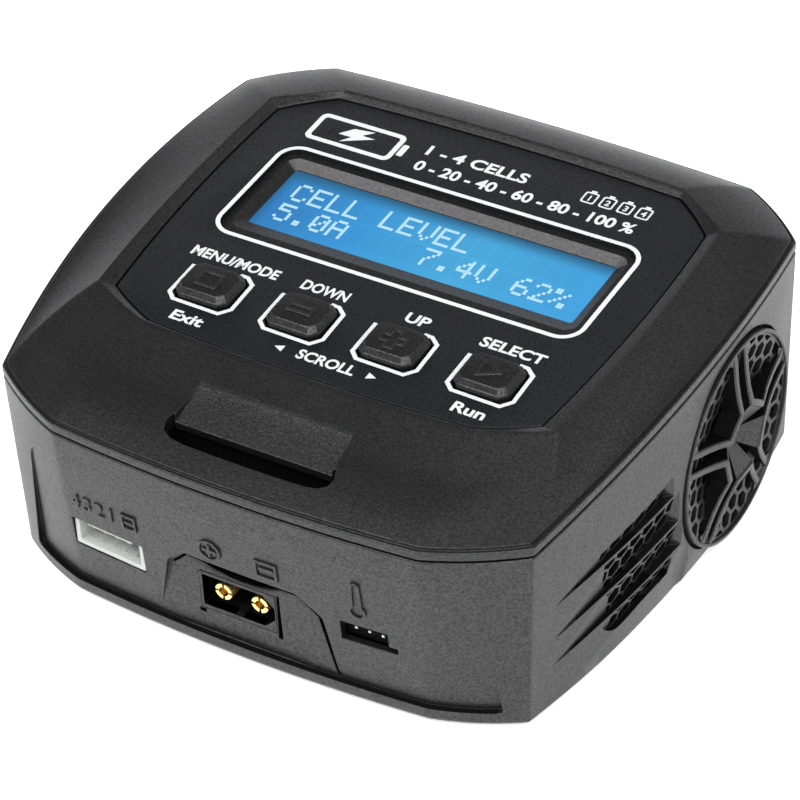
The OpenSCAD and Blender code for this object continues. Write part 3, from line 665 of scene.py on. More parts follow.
def lettering(text, x, y, cap, bold, depth, place, width=None, centre=True):
    """Text in the built-in face, with capitals of height cap and its baseline at y."""
    curve = bpy.data.curves.new("lettering", "FONT")
    curve.body = text
    curve.offset = bold
    curve.extrude = 0.5
    curve.resolution_u = 4
    verts, faces = curve_shape(curve)
    cap_share = 0.729  # capital height at size 1
    verts[:, :2] *= cap / cap_share
    if width:
        verts[:, 0] *= width / (verts[:, 0].max() - verts[:, 0].min())
    verts[:, 0] -= verts[:, 0].min()
    if centre:
        verts[:, 0] -= verts[:, 0].max() / 2
    verts[:, 2] = (verts[:, 2] + 0.5) * depth - 0.004
    return [place(x + p[0], y + p[1], p[2]) for p in verts], faces


# ------------------------------------------------------------------ objects


def shade(obj, sharp):
    """Smooth shading, with edges sharper than an angle kept crisp."""
    for face in obj.data.polygons:
        face.use_smooth = True
    obj.data.set_sharp_from_angle(angle=math.radians(sharp))


def build(name, shape, sharp=25.0):
    verts, faces = shape
    mesh = bpy.data.meshes.new(name)
    mesh.from_pydata([tuple(p) for p in np.asarray(verts, float) * MM], [], faces)
    mesh.validate()
    obj = bpy.data.objects.new(name, mesh)
    bpy.context.scene.collection.objects.link(obj)
    shade(obj, sharp)
    return obj


def solid(name, shape, sharp=25.0):
    """Build a closed piece and turn its faces outwards."""
    obj = build(name, shape, sharp)
    bm = bmesh.new()
    bm.from_mesh(obj.data)
    bmesh.ops.recalc_face_normals(bm, faces=bm.faces)
    bm.to_mesh(obj.data)
    bm.free()
    return obj


def subtract(obj, cutter):
    """Apply a cut and drop the cutter; the exact solver follows if the first changes nothing."""
    before = len(obj.data.vertices)
    for solver in ("MANIFOLD", "EXACT"):
        modifier = obj.modifiers.new("cut", "BOOLEAN")
        modifier.operation = "DIFFERENCE"
        modifier.object = cutter
        # guards against a Blender without the manifold solver
        try:
            modifier.solver = solver
        except TypeError:
            obj.modifiers.remove(modifier)
            continue
        bpy.context.view_layer.update()
        depsgraph = bpy.context.evaluated_depsgraph_get()
        mesh = bpy.data.meshes.new_from_object(obj.evaluated_get(depsgraph))
        obj.modifiers.remove(modifier)
        if len(mesh.vertices) > 0 and (len(mesh.vertices) != before or solver == "EXACT"):
            break
    old = obj.data
    obj.data = mesh
    bpy.data.meshes.remove(old)
    bpy.data.objects.remove(cutter)


def cut(obj, *shapes):
    subtract(obj, solid("cutter", join(shapes)))


def give(obj, material, replaces=None, body="case"):
    obj.data.materials.clear()
    obj.data.materials.append(MAT[material])
    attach(obj, body)
    if replaces:
        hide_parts(replaces)


def paint(obj, material, chosen):
    """Add a material to the faces where chosen(centre in mm, normal, face) holds."""
    obj.data.materials.append(MAT[material])
    index = len(obj.data.materials) - 1
    for face in obj.data.polygons:
        if chosen(face.center / MM, face.normal, face):
            face.material_index = index


# ------------------------------------------------------------------ lower moulding
outer = [base_row(amount, z) for amount, z in ((0.85, 1.0), (0.75, 1.02), (0.25, 1.35), (0, 1.9))]
foot_row = outer[-1]
edge_row = part_row(0, PART_LOW_Z)
for share in (0.1, 0.22, 0.34, 0.46, 0.58, 0.7, 0.82, 0.93):
    outer.append(foot_row + (edge_row - foot_row) * share)
outer.append(edge_row - (edge_row - foot_row) / 38.6 * 0.25)
for points in outer:
    on_side = (np.abs(points[:, 0]) > 50) & (points[:, 1] > -42) & (points[:, 1] < 44)
    swelling = bulge(points[on_side, 1], points[on_side, 2])
    points[on_side, 0] += np.sign(points[on_side, 0]) * swelling
chamfer = edge_row.copy()
chamfer[:, :2] *= (1 - 0.16 / 54)
inner_top = part_row(WALL, PART_LOW_Z)
inner_floor = base_row(WALL, 3.2)
inner_mid = inner_floor + (inner_top - inner_floor) * 0.5
bottom = solid("vis_bottom_shell", loft(outer + [chamfer, inner_top, inner_mid, inner_floor]))

# front fascia let into the wall
FASCIA_Z = 33.2
FASCIA_BASE = inset(OUT_BASE, 1.3)
FASCIA_TOP = inset(OUT_PART, 0.12)
fascia_outline = round_poly([(-46.8, 3.9), (46.8, 3.9), (44.2, 27.6), (42.0, 30.2), (34.0, 31.5),
                             (-34.0, 31.5), (-42.0, 30.2), (-44.2, 27.6)], 1.0)
recess = solid("cutter", prism(fascia_outline, 40, 62, on_front))
cut(recess, loft([row(FASCIA_BASE, SAG_WALL, 0.0), row(FASCIA_TOP, SAG_WALL, FASCIA_Z)]))
subtract(bottom, recess)


# recess around the main output socket, deeper towards its top
def recess_place(u, v, w):
    back = 51.95 - 0.012 * (v - 4.3)
    return (u, -(back if w < 50 else 60), v)


recess_outline = round_poly([(-17.7, 3.9), (19.2, 3.9), (16.2, 17.5), (11.5, 21.2),
                             (-10.5, 21.4), (-14.2, 18.2)], 0.6)
cut(bottom, prism(recess_outline, 0, 60, recess_place))

# groove inside that recess, along its top, upper corners and right side
GROOVE = [[(-10.9, 20.2), (11.3, 20.0), (10.9, 19.1), (-10.7, 19.35)],
          [(11.3, 20.0), (15.5, 16.7), (14.8, 16.2), (10.9, 19.1)],
          [(15.5, 16.7), (18.5, 4.3), (18.0, 4.3), (14.8, 16.2)],
          [(-14.0, 17.2), (-10.9, 20.2), (-10.75, 19.7), (-13.7, 16.9)]]
for outline in GROOVE:
    cut(bottom, prism(wound(outline), 51.0, 60, on_front))

# socket mouths
TEMP_OUTLINE = [(-4.75, -2.15), (5.75, -2.15), (5.75, -0.75), (4.15, -0.75), (4.15, 2.2),
                (-4.75, 2.2)]
cut(bottom,
    prism(moved(round_rect(15.2, 8.3, 0.35), -1.25, SOCKET_Z), 42, 60, on_front),
    prism(rect(-9.25, 7.75, -7.95, 8.6), 46, 60, on_front),
    prism(round_rect(15.3, 6.3, 0.25), -10, 10, upright(on_balance)),
    prism(TEMP_OUTLINE, -10, 10, upright(on_temp)))

# narrow slot to the right of the main socket
cut(bottom, prism(round_poly([(6.5, 7.9), (7.42, 7.9), (7.1, 17.3), (6.6, 17.5)], 0.15),
                  46, 60, on_front))

# fan opening, and the wider seat of its grille
cut(bottom, prism(circle(17.3, 96), 48, 70, on_fan))
cut(bottom, prism(circle(20.35, 160), 55.4, 70, on_fan))

# Louvred vents on both sides: each band slopes inwards down to a ledge. They are drawn in
# their own y and z and shifted by VENT_Y and VENT_Z.
VENT_Y, VENT_Z = -1.2, 1.15
VENT_FRONT = -37.2
EAVE_Y, EAVE_SLOPE = -25.2, 0.14
# z at the front end, z at the rear end, y of the rear end
LEDGES = [(22.5, 24.75, -6.1), (15.2, 18.05, -4.4), (9.4, 11.6, -3.1)]
# y and z along the lower edge of the fourth band
LOW_EDGE = np.array([
    (-25.5, 9.1), (-24.4, 7.4), (-22.6, 6.0), (-20.8, 5.6), (-18.0, 5.9),
    (-14.5, 6.7), (-11.0, 7.0), (-8.0, 7.15), (-6.3, 8.1), (-5.7, 9.9)])
# y and z along the upper edge of the facet under the vents
SCOOP_EDGE = np.array([
    (-36.0, 1.6), (-30.0, 2.6), (-24.0, 4.6), (-20.5, 5.4), (-14.0, 6.5), (-8.0, 6.9),
    (-5.4, 8.5), (-3.4, 10.9), (-1.2, 10.4), (-0.1, 8.6), (0.45, 6.0)])


def along_edge(edge, y):
    return float(np.interp(y, edge[:, 0], edge[:, 1]))


def ledge_z(i, y):
    z0, z1, rear = LEDGES[i]
    return z0 + (z1 - z0) * ((y - VENT_FRONT) / (rear - VENT_FRONT))


def band_top(i, y):
    if i > 0:
        return min(ledge_z(i - 1, y) - 0.45, ledge_z(i, y) + 0.1 + (y - VENT_FRONT) * 0.5)
    if y > EAVE_Y:
        top = 26.3 + EAVE_SLOPE * (y - EAVE_Y)
    else:
        top = 26.3 - (26.3 - ledge_z(0, y) - 0.05) * min(1, (EAVE_Y - y) / 12.0)
    return max(top, ledge_z(0, y) + 0.06)


def vent_row(side, y, top, low, top_depth, low_depth):
    """Section of a side cutter: its depths into the wall at the top and the low edge."""
    clear = 2.5
    x_top, x_low = wall_x(y, top), wall_x(y, low)
    return [(side * (x_top - top_depth), y, top), (side * (x_low - low_depth), y, low),
            (side * (x_low + clear), y, low), (side * (x_top + clear), y, top)]


def vent_band(side, i):
    rear = LEDGES[i][2]
    rows = []
    for y in list(np.linspace(VENT_FRONT, rear - 1.1, 26)) + [rear]:
        depth = 0.02
        if y < rear:
            depth = max(depth, 1.55 * min(1.0, (y + 37.3) / 29.0) ** 0.8)
        rows.append(vent_row(side, y + VENT_Y, band_top(i, y) + VENT_Z, ledge_z(i, y) + VENT_Z,
                             0.01, depth))
    return loft(rows)


def low_band(side):
    """The fourth band, which ends on a curved lower edge."""
    rows = []
    for y in np.linspace(-25.5, -5.9, 24):
        top = ledge_z(2, y) - 0.45
        low = min(along_edge(LOW_EDGE, y), top - 0.2)
        depth = 0.95 * min(1.0, (y + 25.6) / 3.0) * min(1.0, (-5.6 - y) / 1.2) + 0.03
        rows.append(vent_row(side, y + VENT_Y, top + VENT_Z, low + VENT_Z, 0.05, depth))
    return loft(rows)


def scoop(side):
    """Shallow facet under the vents that runs out at the base."""
    rows = []
    for y in np.linspace(-36, 0.4, 40):
        top = max(along_edge(SCOOP_EDGE, y), 2.0)
        depth = 0.75 * min(1.0, (y + 36) / 26.0) * min(1.0, (0.5 - y) / 1.6) + 0.02
        rows.append(vent_row(side, y + VENT_Y, top + VENT_Z, 0.2, 0.02, depth))
    return loft(rows)


def vent_limits(i, y, z):
    """Clipping lines of the holes in band i, as (normal, limit)."""
    top = 26.2 + EAVE_SLOPE * (y - EAVE_Y) if i == 0 else ledge_z(i - 1, y) - 0.5
    if i < 3:
        low, rear = ledge_z(i, y), LEDGES[i][2] - 1.6
    else:
        low, rear = along_edge(LOW_EDGE, y), -6.2
    front = -26.2 + (26 - z) * 0.19
    return ((0, -1), -(low + 0.12)), ((0, 1), top - 0.25), ((-1, 0), -front), ((1, 0), rear)


def vent_holes(side):
    """Honeycomb through all four bands."""
    pitch = 3.5
    shapes = []
    for i in range(4):
        for r in range(-2, 14):
            for c in range(-2, 10):
                y = -27.3 + c * pitch + (r % 2) * pitch / 2
                z = 4.6 + r * pitch * 0.866
                hole = circle(1.72, 6, y, z, math.pi / 6)
                for normal, limit in vent_limits(i, min(max(y, -26), -6), z):
                    hole = clip(hole, normal, limit)
                if area(hole) > 0.5:
                    shapes.append(prism(moved(hole, VENT_Y, VENT_Z), 44, 64,
                                        lambda u, v, w: (side * w, u, v)))
    return join(shapes)


for side in (1, -1):
    cut(bottom, scoop(side))
    for i in range(3):
        cut(bottom, vent_band(side, i))
    cut(bottom, low_band(side))
    cut(bottom, vent_holes(side))

# rear inlet opening, floor slots, foot seats, screw wells and rear slots
cut(bottom,
    prism(round_rect(21.4, 15.6, 1.6, 24.0, 17.6), -62, -46, lambda u, v, w: (-u, -w, v)),
    *[prism(round_rect(1.8, 24, 0.88, -19.1 + i * 4, 4), -1, 6) for i in range(-4, 5)],
    *[prism(circle(4.75, 48, x, y), -1, 1.75) for x, y in FEET],
    *[prism(circle(3.0, 40, x, y), -1, 5.5) for x, y in SCREW_WELLS],
    *[prism(round_rect(1.6, 13, 0.78, 8 + i * 4.2, 19), 46, 62, standing) for i in range(6)])
shade(bottom, 20)
give(bottom, "case_plastic", "bottom_shell")


def in_shadow(centre, normal, face):
    """Faces that take painted shade: the walls of the vent holes, and the recess around the main
    socket.
    """
    nearest = min(abs(bottom.data.vertices[i].co.x) for i in face.vertices) / MM
    vent = (abs(centre.x) > 44 and -34 < centre.y < -4 and 4 < centre.z < 34
            and abs(normal.x) < 0.3 and nearest < 55.4 and face.area < 12e-6)
    mouth = abs(centre.x) < 19.5 and -51.72 < centre.y < -50.2 and 3.9 < centre.z < 21.8
    return vent or mouth


# painted shade in the vent holes and the recess around the main socket
paint(bottom, "shadow_nylon", in_shadow)

# hollow posts over the screw wells, as (radius, z) rings
POST = ((3.4, 2.6), (3.4, 26), (1.7, 26), (1.7, 4.2), (2.99, 4.2), (2.99, 2.6))
posts = [loft([level(circle(r, 32, x, y), z) for r, z in POST], closed=True)
         for x, y in SCREW_WELLS]
give(solid("vis_case_bosses", join(posts)), "case_plastic")

# ------------------------------------------------------------------ upper moulding
# lip over the part line: rise above it, inset
LIP = ((0.0, 0.3), (0.2, 0.0), (1.5, 0.0), (1.68, 0.1), (1.74, 0.3), (1.6, 0.5), (1.6, 0.82),
       (1.95, 0.86))
SHOULDER_STEPS = (0.0, 0.04, 0.08, 0.13, 0.18, 0.24, 0.3, 0.36, 0.42, 0.5, 0.56, 0.62, 0.74,
                  0.86, 0.95, 1.0)
shoulder_low = part_row(0.8, PART_HIGH_Z + 2.14)
shoulder_mid = row(OUT_SHOULDER, SAG_SHOULDER, 45.25, PART_SLOPE, 0.6)
rim_row = row(OUT_RIM, SAG_RIM, PLATE_Z + 0.75, PLATE_SLOPE + 0.004, soft=0.5)


def shoulder(t):
    """Curve through the three shoulder outlines, rounded over a little at the front."""
    curve = (shoulder_low * (1 - t) * (1 - 2 * t) + shoulder_mid * 4 * t * (1 - t)
             + rim_row * t * (2 * t - 1))
    front = step01((-shoulder_low[:, 1] - 46.0) / 5.0)
    rise = 0.5 * math.sin(math.pi * min(1.0, t / 0.55)) * front
    return curve + np.column_stack([0 * front, 0 * front, rise])


# the rim falls in a bevel to the gap around the label, then down to the label's seat
gap_outline = OUT_LABEL + 0.32
gap_row = row(gap_outline, SAG_LABEL, PLATE_Z + 0.12, PLATE_SLOPE, soft=SOFT_LABEL)
seat_row = row(gap_outline, SAG_LABEL, PLATE_Z - 0.95, PLATE_SLOPE, soft=SOFT_LABEL)
rows = [part_row(amount, PART_HIGH_Z + rise) for rise, amount in LIP]
rows += [shoulder(t) for t in SHOULDER_STEPS]
rows += [rim_row + (gap_row - rim_row) * 0.04 + np.array([0, 0, 0.02]),
         rim_row + (gap_row - rim_row) * 0.5, gap_row, seat_row]
under = [
    part_row(WALL, PART_HIGH_Z),
    part_row(WALL, 41.43),
    row(np.array([33.0, 38.0, 32.0, 46.5, 36.8, 49.0, 37.2, 45.5]), [1.3, 0.5, 2.2, 1.2],
        42.9, PART_SLOPE, 0.4),
    row(np.array([30.8, 26.2, 21.0, 43.0, 32.5, 43.6, 33.2, 40.5]), SAG_RIM,
        PLATE_Z - 3.0, PLATE_SLOPE, soft=0.7)]
verts, faces = loft(rows, cap0=False)
n = len(rows[0])
# the underside runs from the first lip row inwards and up, and is closed by its last row
starts = [0] + [len(verts) + j * n for j in range(4)]
for a, b in zip(starts, starts[1:]):
    faces += [(a + i, b + i, b + (i + 1) % n, a + (i + 1) % n) for i in range(n)]
faces.append(tuple(range(starts[-1], starts[-1] + n))[::-1])
top = solid("vis_top_shell", (np.vstack([verts] + under), faces))

# display opening: bezel sloping to the window, then the pocket for the glass
bezel = round_rect(DISPLAY_W + 0.2, DISPLAY_H + 0.2, 3.7, 0, DISPLAY_Y, 10)
window = round_rect(WINDOW_W, WINDOW_H, 0.5, 0, WINDOW_Y, 10)
SLOPE_SHARE = 0.93  # the rest of the way in is a vertical step
slope_end = np.array(bezel) * (1 - SLOPE_SHARE) + np.array(window) * SLOPE_SHARE
cut(top, loft([level(bezel, 0.4, on_panel), level(bezel, -0.05, on_panel),
               level(slope_end, -0.05 - (GLASS_DEPTH - 0.05) * SLOPE_SHARE, on_panel),
               level(window, -GLASS_DEPTH - 1.0, on_panel)]))
cut(top, prism(round_rect(69.2, 23.6, 0.6, 0, 12), -8, -GLASS_DEPTH - 0.03, on_panel))


def key_holes(half_w, half_h, low):
    hole = octagon(half_w, half_h, 1.9)
    return [prism(moved(hole, x, KEY_Y), low, 3, on_panel) for x in KEY_X]


cut(top, *key_holes(5.75, 4.9, -8))


def ramp_row(t):
    """Section of the ramp, from the shoulder (t = 0) forward and down to the slot (t = 1)."""
    y = -36.6 + (-44.5 - -36.6) * t
    z = 44.35 + (41.25 - 44.35) * (t ** 0.93)
    left = -15.3 + (-15.9 - -15.3) * t
    right = 14.4 + (14.7 - 14.4) * t
    return [(left, y, z), (right, y, z), (right + 0.5, y, z + 8), (left - 0.5, y, z + 8)]


# ramp and slot in the front shoulder
cut(top, loft([ramp_row(j / 12) for j in range(13)]))
slot_outline = [(-15.9, -44.45), (-16.4, -43.9), (-16.7, -45.9), (-16.1, -47.6), (-14.0, -48.75)]
slot_outline += [(x, -49.0 - 0.3 * (1 - (x / 14) ** 2)) for x in np.linspace(-11, 12, 9)]
slot_outline += [(14.4, -48.65), (15.8, -47.7), (16.2, -46.2), (15.3, -43.9), (14.8, -44.45)]
cut(top, prism(slot_outline, 33.0, 60.0))
shade(top, 18)
give(top, "case_plastic", "top_shell")


def on_rear_slope(centre, normal, face):
    depth_z = centre.z - PLATE_SLOPE * centre.y
    return (abs(centre.x) < 35.5 and 20.9 < centre.y < 25.6
            and PLATE_Z - 2.6 < depth_z < PLATE_Z - 0.02 and normal.y < -0.2 and normal.z > 0.2)


def in_key_well(centre, normal, face):
    return abs(centre.x) < 34 and -21.2 < centre.y < -10.8 and abs(normal.z) < 0.3


# painted highlight: the rear slope of the display surround is paler; painted shade: the key wells
# are darker
paint(top, "bezel_painted_highlight", on_rear_slope)
paint(top, "key_well_painted_shade", in_key_well)

# pocket under the slot, near-black as painted shade
pocket = rect(-17.4, -49.5, 17.2, -43.1)
give(build("vis_slot_pocket", loft([level(pocket, 39.3), level(pocket, 34.5)], cap0=False)),
     "shadow_nylon")

# ------------------------------------------------------------------ label plate
label_outline, _ = ring(OUT_LABEL - 0.02, SAG_LABEL, SOFT_LABEL)
# height over the plate's face, scale of the outline
LABEL_ROWS = ((-0.9, 1.0), (-0.12, 1.0), (-0.02, 0.9985), (0.0, 0.996))
label = solid("vis_control_label",
              loft([level(label_outline * scale, z, on_panel) for z, scale in LABEL_ROWS]))
cut(label, prism(round_rect(DISPLAY_W, DISPLAY_H, 3.6, 0, DISPLAY_Y, 10), -3, 3, on_panel))
cut(label, *key_holes(5.78, 4.93, -3))
shade(label, 25)
give(label, "label_film", "control_label")

# ------------------------------------------------------------------ label print
INK = 0.03
BOLD = 0.028


def ink_border(outer, inner):
    return border(outer, inner, 0.0, INK, on_panel)


def ink_flat(outline):
    return prism(outline, -0.005, INK, on_panel)


def ink_text(text, x, y, cap, bold=BOLD, width=None, centre=True):
    return lettering(text, x, y, cap, bold, INK, on_panel, width, centre)


def ink_line(path, width):
    """Line of even width along an open path, on its left side."""
    points = [np.array(p, float) for p in path]
    inner = []
    for i, point in enumerate(points):
        before = point - points[i - 1] if i > 0 else points[1] - points[0]
        after = points[i + 1] - point if i < len(points) - 1 else before
        normal0 = np.array([-before[1], before[0]]) / np.hypot(*before)
        normal1 = np.array([-after[1], after[0]]) / np.hypot(*after)
        mitre = normal0 + normal1
        mitre /= np.hypot(*mitre)
        inner.append(point + mitre * width / max(0.3, float(mitre @ normal0)))
    return [ink_flat(wound([tuple(points[i]), tuple(points[i + 1]),
                            tuple(inner[i + 1]), tuple(inner[i])]))
            for i in range(len(points) - 1)]


# outline round the display
ink = [ink_border(round_rect(73.4, 27.75, 4.5, 0.05, DISPLAY_Y, 14),
                  round_rect(DISPLAY_W, DISPLAY_H, 3.6, 0.05, DISPLAY_Y, 14))]

# octagons around the keys, open at the upper left
KEY_LINE = [(-6.45, 3.1), (-6.35, -5.15), (-4.56, -6.8), (5.06, -7.0), (6.8, -4.8), (6.55, 2.7),
            (4.6, 4.3), (2.85, 4.4)]
for x in KEY_X:
    ink += ink_line(moved(KEY_LINE, x - 0.15, -14.7), 0.75)

# text, x, y, capital height, width
WORDS = (("MENU/MODE", -26.5, -9.15, 2.5, 17.6), ("DOWN", -8.3, -9.1, 2.5, 9.2),
         ("UP", 10.0, -9.0, 2.5, 4.6), ("SELECT", 28.4, -9.0, 2.5, 12.2),
         ("Exit", -25.9, -25.75, 2.5, 6.3), ("Run", 29.2, -25.6, 2.5, 6.2),
         ("SCROLL", 1.6, -25.3, 2.4, 11.2))
ink += [ink_text(text, x, y, cap, width=width) for text, x, y, cap, width in WORDS]
# arrowheads either side of the last word
for side, x, y in ((-1, -7.6, -24.3), (1, 10.3, -24.1)):
    arrow = [(x + side * 0.95, y), (x - side * 0.75, y + 0.8), (x - side * 0.75, y - 0.8)]
    ink.append(ink_flat(arrow[::-side]))

# battery pictogram with a bolt, two lines of text and four numbered cells, behind the display
left, right, front, rear = -35.2, -17.4, 28.4, 36.4
centre_x, centre_y = (left + right) / 2, (front + rear) / 2
ink.append(ink_border(round_rect(right - left, rear - front, 1.4, centre_x, centre_y),
                      round_rect(right - left - 2, rear - front - 2, 0.7, centre_x, centre_y)))
ink.append(ink_flat(round_rect(1.2, 3.4, 0.35, right + 0.95, centre_y)))
ink.append(ink_flat(wound([(-27.6, 34.3), (-29.6, 31.9), (-26.9, 31.9), (-28.4, 29.9),
                           (-22.7, 33.1), (-25.4, 33.1), (-23.6, 34.9)])))
ink.append(ink_text("1 - 4 CELLS", -12.4, 33.3, 2.75, width=20.5, centre=False))
ink.append(ink_text("0 - 20 - 40 - 60 - 80 - 100 %", -12.4, 28.6, 2.75, width=44.0,
                    centre=False))
for i in range(4):
    x = 20.4 + i * 3.55
    ink.append(ink_border(round_rect(2.7, 3.1, 0.5, x, 34.6, 5),
                          round_rect(2.05, 2.45, 0.3, x, 34.6, 5)))
    ink.append(ink_flat(round_rect(1.1, 0.5, 0.15, x, 36.45, 4)))
    ink.append(ink_text(str(i + 1), x, 33.85, 1.5, bold=0.02))
give(build("vis_label_print", join(ink), 30), "white_ink")

# ------------------------------------------------------------------ display
GLASS_TOP = -GLASS_DEPTH - 0.05
give(build("vis_lcd_glass", prism(round_rect(68.4, 22.8, 0.4, 0, 12), -GLASS_DEPTH - 1.15,
                                  GLASS_TOP, on_panel)),
     "lcd_backlight", "lcd_glass")

# five by seven dots, rows from the top
GLYPHS = {
    "A": "01110 10001 10001 11111 10001 10001 10001",
    "C": "01110 10001 10000 10000 10000 10001 01110",
    "E": "11111 10000 10000 11110 10000 10000 11111",
    "L": "10000 10000 10000 10000 10000 10000 11111",
    "V": "10001 10001 10001 10001 10001 01010 00100",
    "0": "01110 10001 10011 10101 11001 10001 01110",
    "2": "01110 10001 00001 00010 00100 01000 11111",
    "4": "00010 00110 01010 10010 11111 00010 00010",
    "5": "11111 10000 11110 00001 00001 10001 01110",
    "6": "00110 01000 10000 11110 10001 10001 01110",
    "7": "11111 00001 00010 00100 01000 01000 01000",
    ".": "00000 00000 00000 00000 00000 01100 01100",
    "%": "11000 11001 00010 00100 01000 10011 00011",
    " ": ""}
CHAR_PITCH, DOT_W, DOT_H, DOT_GAP = 3.7, 0.615, 0.70, 0.04
dots, cells = [], []
for line_top, text in ((18.6, "CELL LEVEL".ljust(16)), (12.5, "5.0A    7.4V 62%")):
    for column, char in enumerate(text):
        x0 = -29.55 + column * CHAR_PITCH
        cells.append(box(x0 - 0.12, line_top - 8 * DOT_H + 0.35, GLASS_TOP - 0.004,
                         x0 + 5 * DOT_W + 0.02, line_top + 0.08, GLASS_TOP + 0.006, on_panel))
        for r, bits in enumerate(GLYPHS[char].split()):
            for c, bit in enumerate(bits):
                if bit == "1":
                    x, y = x0 + c * DOT_W, line_top - (r + 1) * DOT_H
                    dots.append(box(x, y + DOT_GAP, GLASS_TOP + 0.004, x + DOT_W - DOT_GAP,
                                    y + DOT_H, GLASS_TOP + 0.016, on_panel))
give(build("vis_lcd_cells", join(cells)), "lcd_cell")
give(build("vis_lcd_dots", join(dots)), "lcd_dot")

# ------------------------------------------------------------------ keys
# half-width, half-height, corner cut, height over the plate
KEY_ROWS = ((6.6, 5.7, 2.2, -4.2), (6.6, 5.7, 2.2, -3.15), (5.35, 4.48, 1.5, -3.15),
            (5.32, 4.45, 1.45, 0.1), (5.28, 4.4, 1.4, 0.75), (5.22, 4.34, 1.38, 0.9),
            (5.1, 4.2, 1.34, 1.0), (4.62, 3.62, 1.2, 1.85), (4.52, 3.5, 1.17, 1.95),
            (4.4, 3.4, 1.12, 1.97))
# key, then the outer and inner outline of its raised sign
KEYS = (("stop", centred(2.1, 1.9), centred(1.72, 1.52)),
        ("dec", centred(2.35, 1.0), centred(1.98, 0.63)),
        ("inc", plus(2.4, 0.95), plus(2.05, 0.6)),
        ("start", [(-1.7, -2.15), (2.3, 0), (-1.7, 2.15)], [(-1.32, -1.5), (1.5, 0), (-1.32, 1.5)]))
for x, (key, sign_outer, sign_inner) in zip(KEY_X, KEYS):
    cap = loft([level(moved(round_poly(octagon(w, h, c), 0.3, 3), x, KEY_Y), z, on_panel)
                for w, h, c, z in KEY_ROWS])
    sign = border(moved(sign_outer, x, KEY_Y), moved(sign_inner, x, KEY_Y), 1.8, 2.16, on_panel)
    obj = solid("vis_key_" + key, join([cap, sign]))
    shade(obj, 11)
    give(obj, "key_plastic", "key_" + key, body=key + "_key")

# ------------------------------------------------------------------ fan grille
RIM_INNER = 19.1  # where the bars and slots end
SLOT_HALF, BAR_WIDTH = 1.25, 1.35
HALF_WINDOW = math.radians(36)
HUB_FLOOR = FAN_X - 2.8
# rim section: radius, x from FAN_X
RIM = ((19.75, -3.2), (19.75, -0.2), (19.65, -0.05), (19.5, 0.0), (19.2, 0.0), (19.1, -0.08),
       (19.02, -0.4), (19.0, -3.2))
# bars around a window: distance along the spoke line, x from FAN_X
BAR = ((RIM_INNER, -0.25), (17.2, 0.02), (13.5, 0.35), (10.5, 0.8))


def spoke_place(degrees):
    """Placement with u outwards from the fan axis, v across it and x as it is."""
    c, s = math.cos(math.radians(degrees)), math.sin(math.radians(degrees))
    return lambda u, v, x: (x, FAN_Y + u * c - v * s, FAN_Z + u * s + v * c)


def by_spoke(away, along, side):
    """(u, v) of a point along a spoke line and away from it, towards the window."""
    c, s = math.cos(HALF_WINDOW), math.sin(HALF_WINDOW)
    return (along * c + away * s, side * (along * s - away * c))


def bar_section(place, outer, inner, x):
    outer, inner = np.array(outer), np.array(inner)
    low, high = outer + (inner - outer) * 0.14, outer + (inner - outer) * 0.84
    stations = ((outer, FAN_X - 2.7), (outer, x - 0.25), (low, x), (high, x - 0.02),
                (inner, x - 0.3), (inner, FAN_X - 3.9))
    return np.array([place(p[0], p[1], at) for p, at in stations])


def window_frame(place):
    """Raised frame of one window, the facet from it to the middle, and the fillets at the rim."""
    tan, cos = math.tan(HALF_WINDOW), math.cos(HALF_WINDOW)
    outer_u, inner_u, floor_u = 6.3, 7.6, 2.0
    outer_v = outer_u * tan - SLOT_HALF / cos
    inner_v = inner_u * tan - (SLOT_HALF + BAR_WIDTH) / cos
    floor_v = floor_u * tan
    arms = {side: [bar_section(place, by_spoke(SLOT_HALF, along, side),
                               by_spoke(SLOT_HALF + BAR_WIDTH, along, side), FAN_X + x)
                   for along, x in BAR] for side in (1, -1)}
    tips = [bar_section(place, (outer_u, side * outer_v), (inner_u, side * inner_v), FAN_X + 1.6)
            for side in (1, -1)]
    floor_x, crest_x = FAN_X - 1.3, FAN_X + 1.4
    crest_u, crest_v = outer_u + 0.15, outer_v + 0.05
    shapes = [
        loft(arms[1] + tips + arms[-1][::-1]),
        slab(place, [(floor_u, floor_v, floor_x), (floor_u, -floor_v, floor_x),
                     (crest_u, -crest_v, crest_x), (crest_u, crest_v, crest_x)], HUB_FLOOR),
        slab(place, [(0, 0, floor_x), (floor_u + 0.02, -floor_v, floor_x),
                     (floor_u + 0.02, floor_v, floor_x)], HUB_FLOOR)]
    for side in (1, -1):
        away = SLOT_HALF + BAR_WIDTH - 0.2
        start, end = by_spoke(away, 16.9, side), by_spoke(away, 19.05, side)
        tip = (end[0] - 0.1, end[1] - side * 1.9)
        fillet = [start, end, tip] if side < 0 else [start, tip, end]
        shapes.append(slab(place, [(u, v, FAN_X - 0.3) for u, v in fillet], FAN_X - 1.6))
    return shapes


def slot_block(place, half, low, stations):
    """Block across a slot, from (u, x of its top) stations."""
    return loft([[place(u, -half, low), place(u, half, low), place(u, half, top_x),
                  place(u, -half, top_x)] for u, top_x in stations])


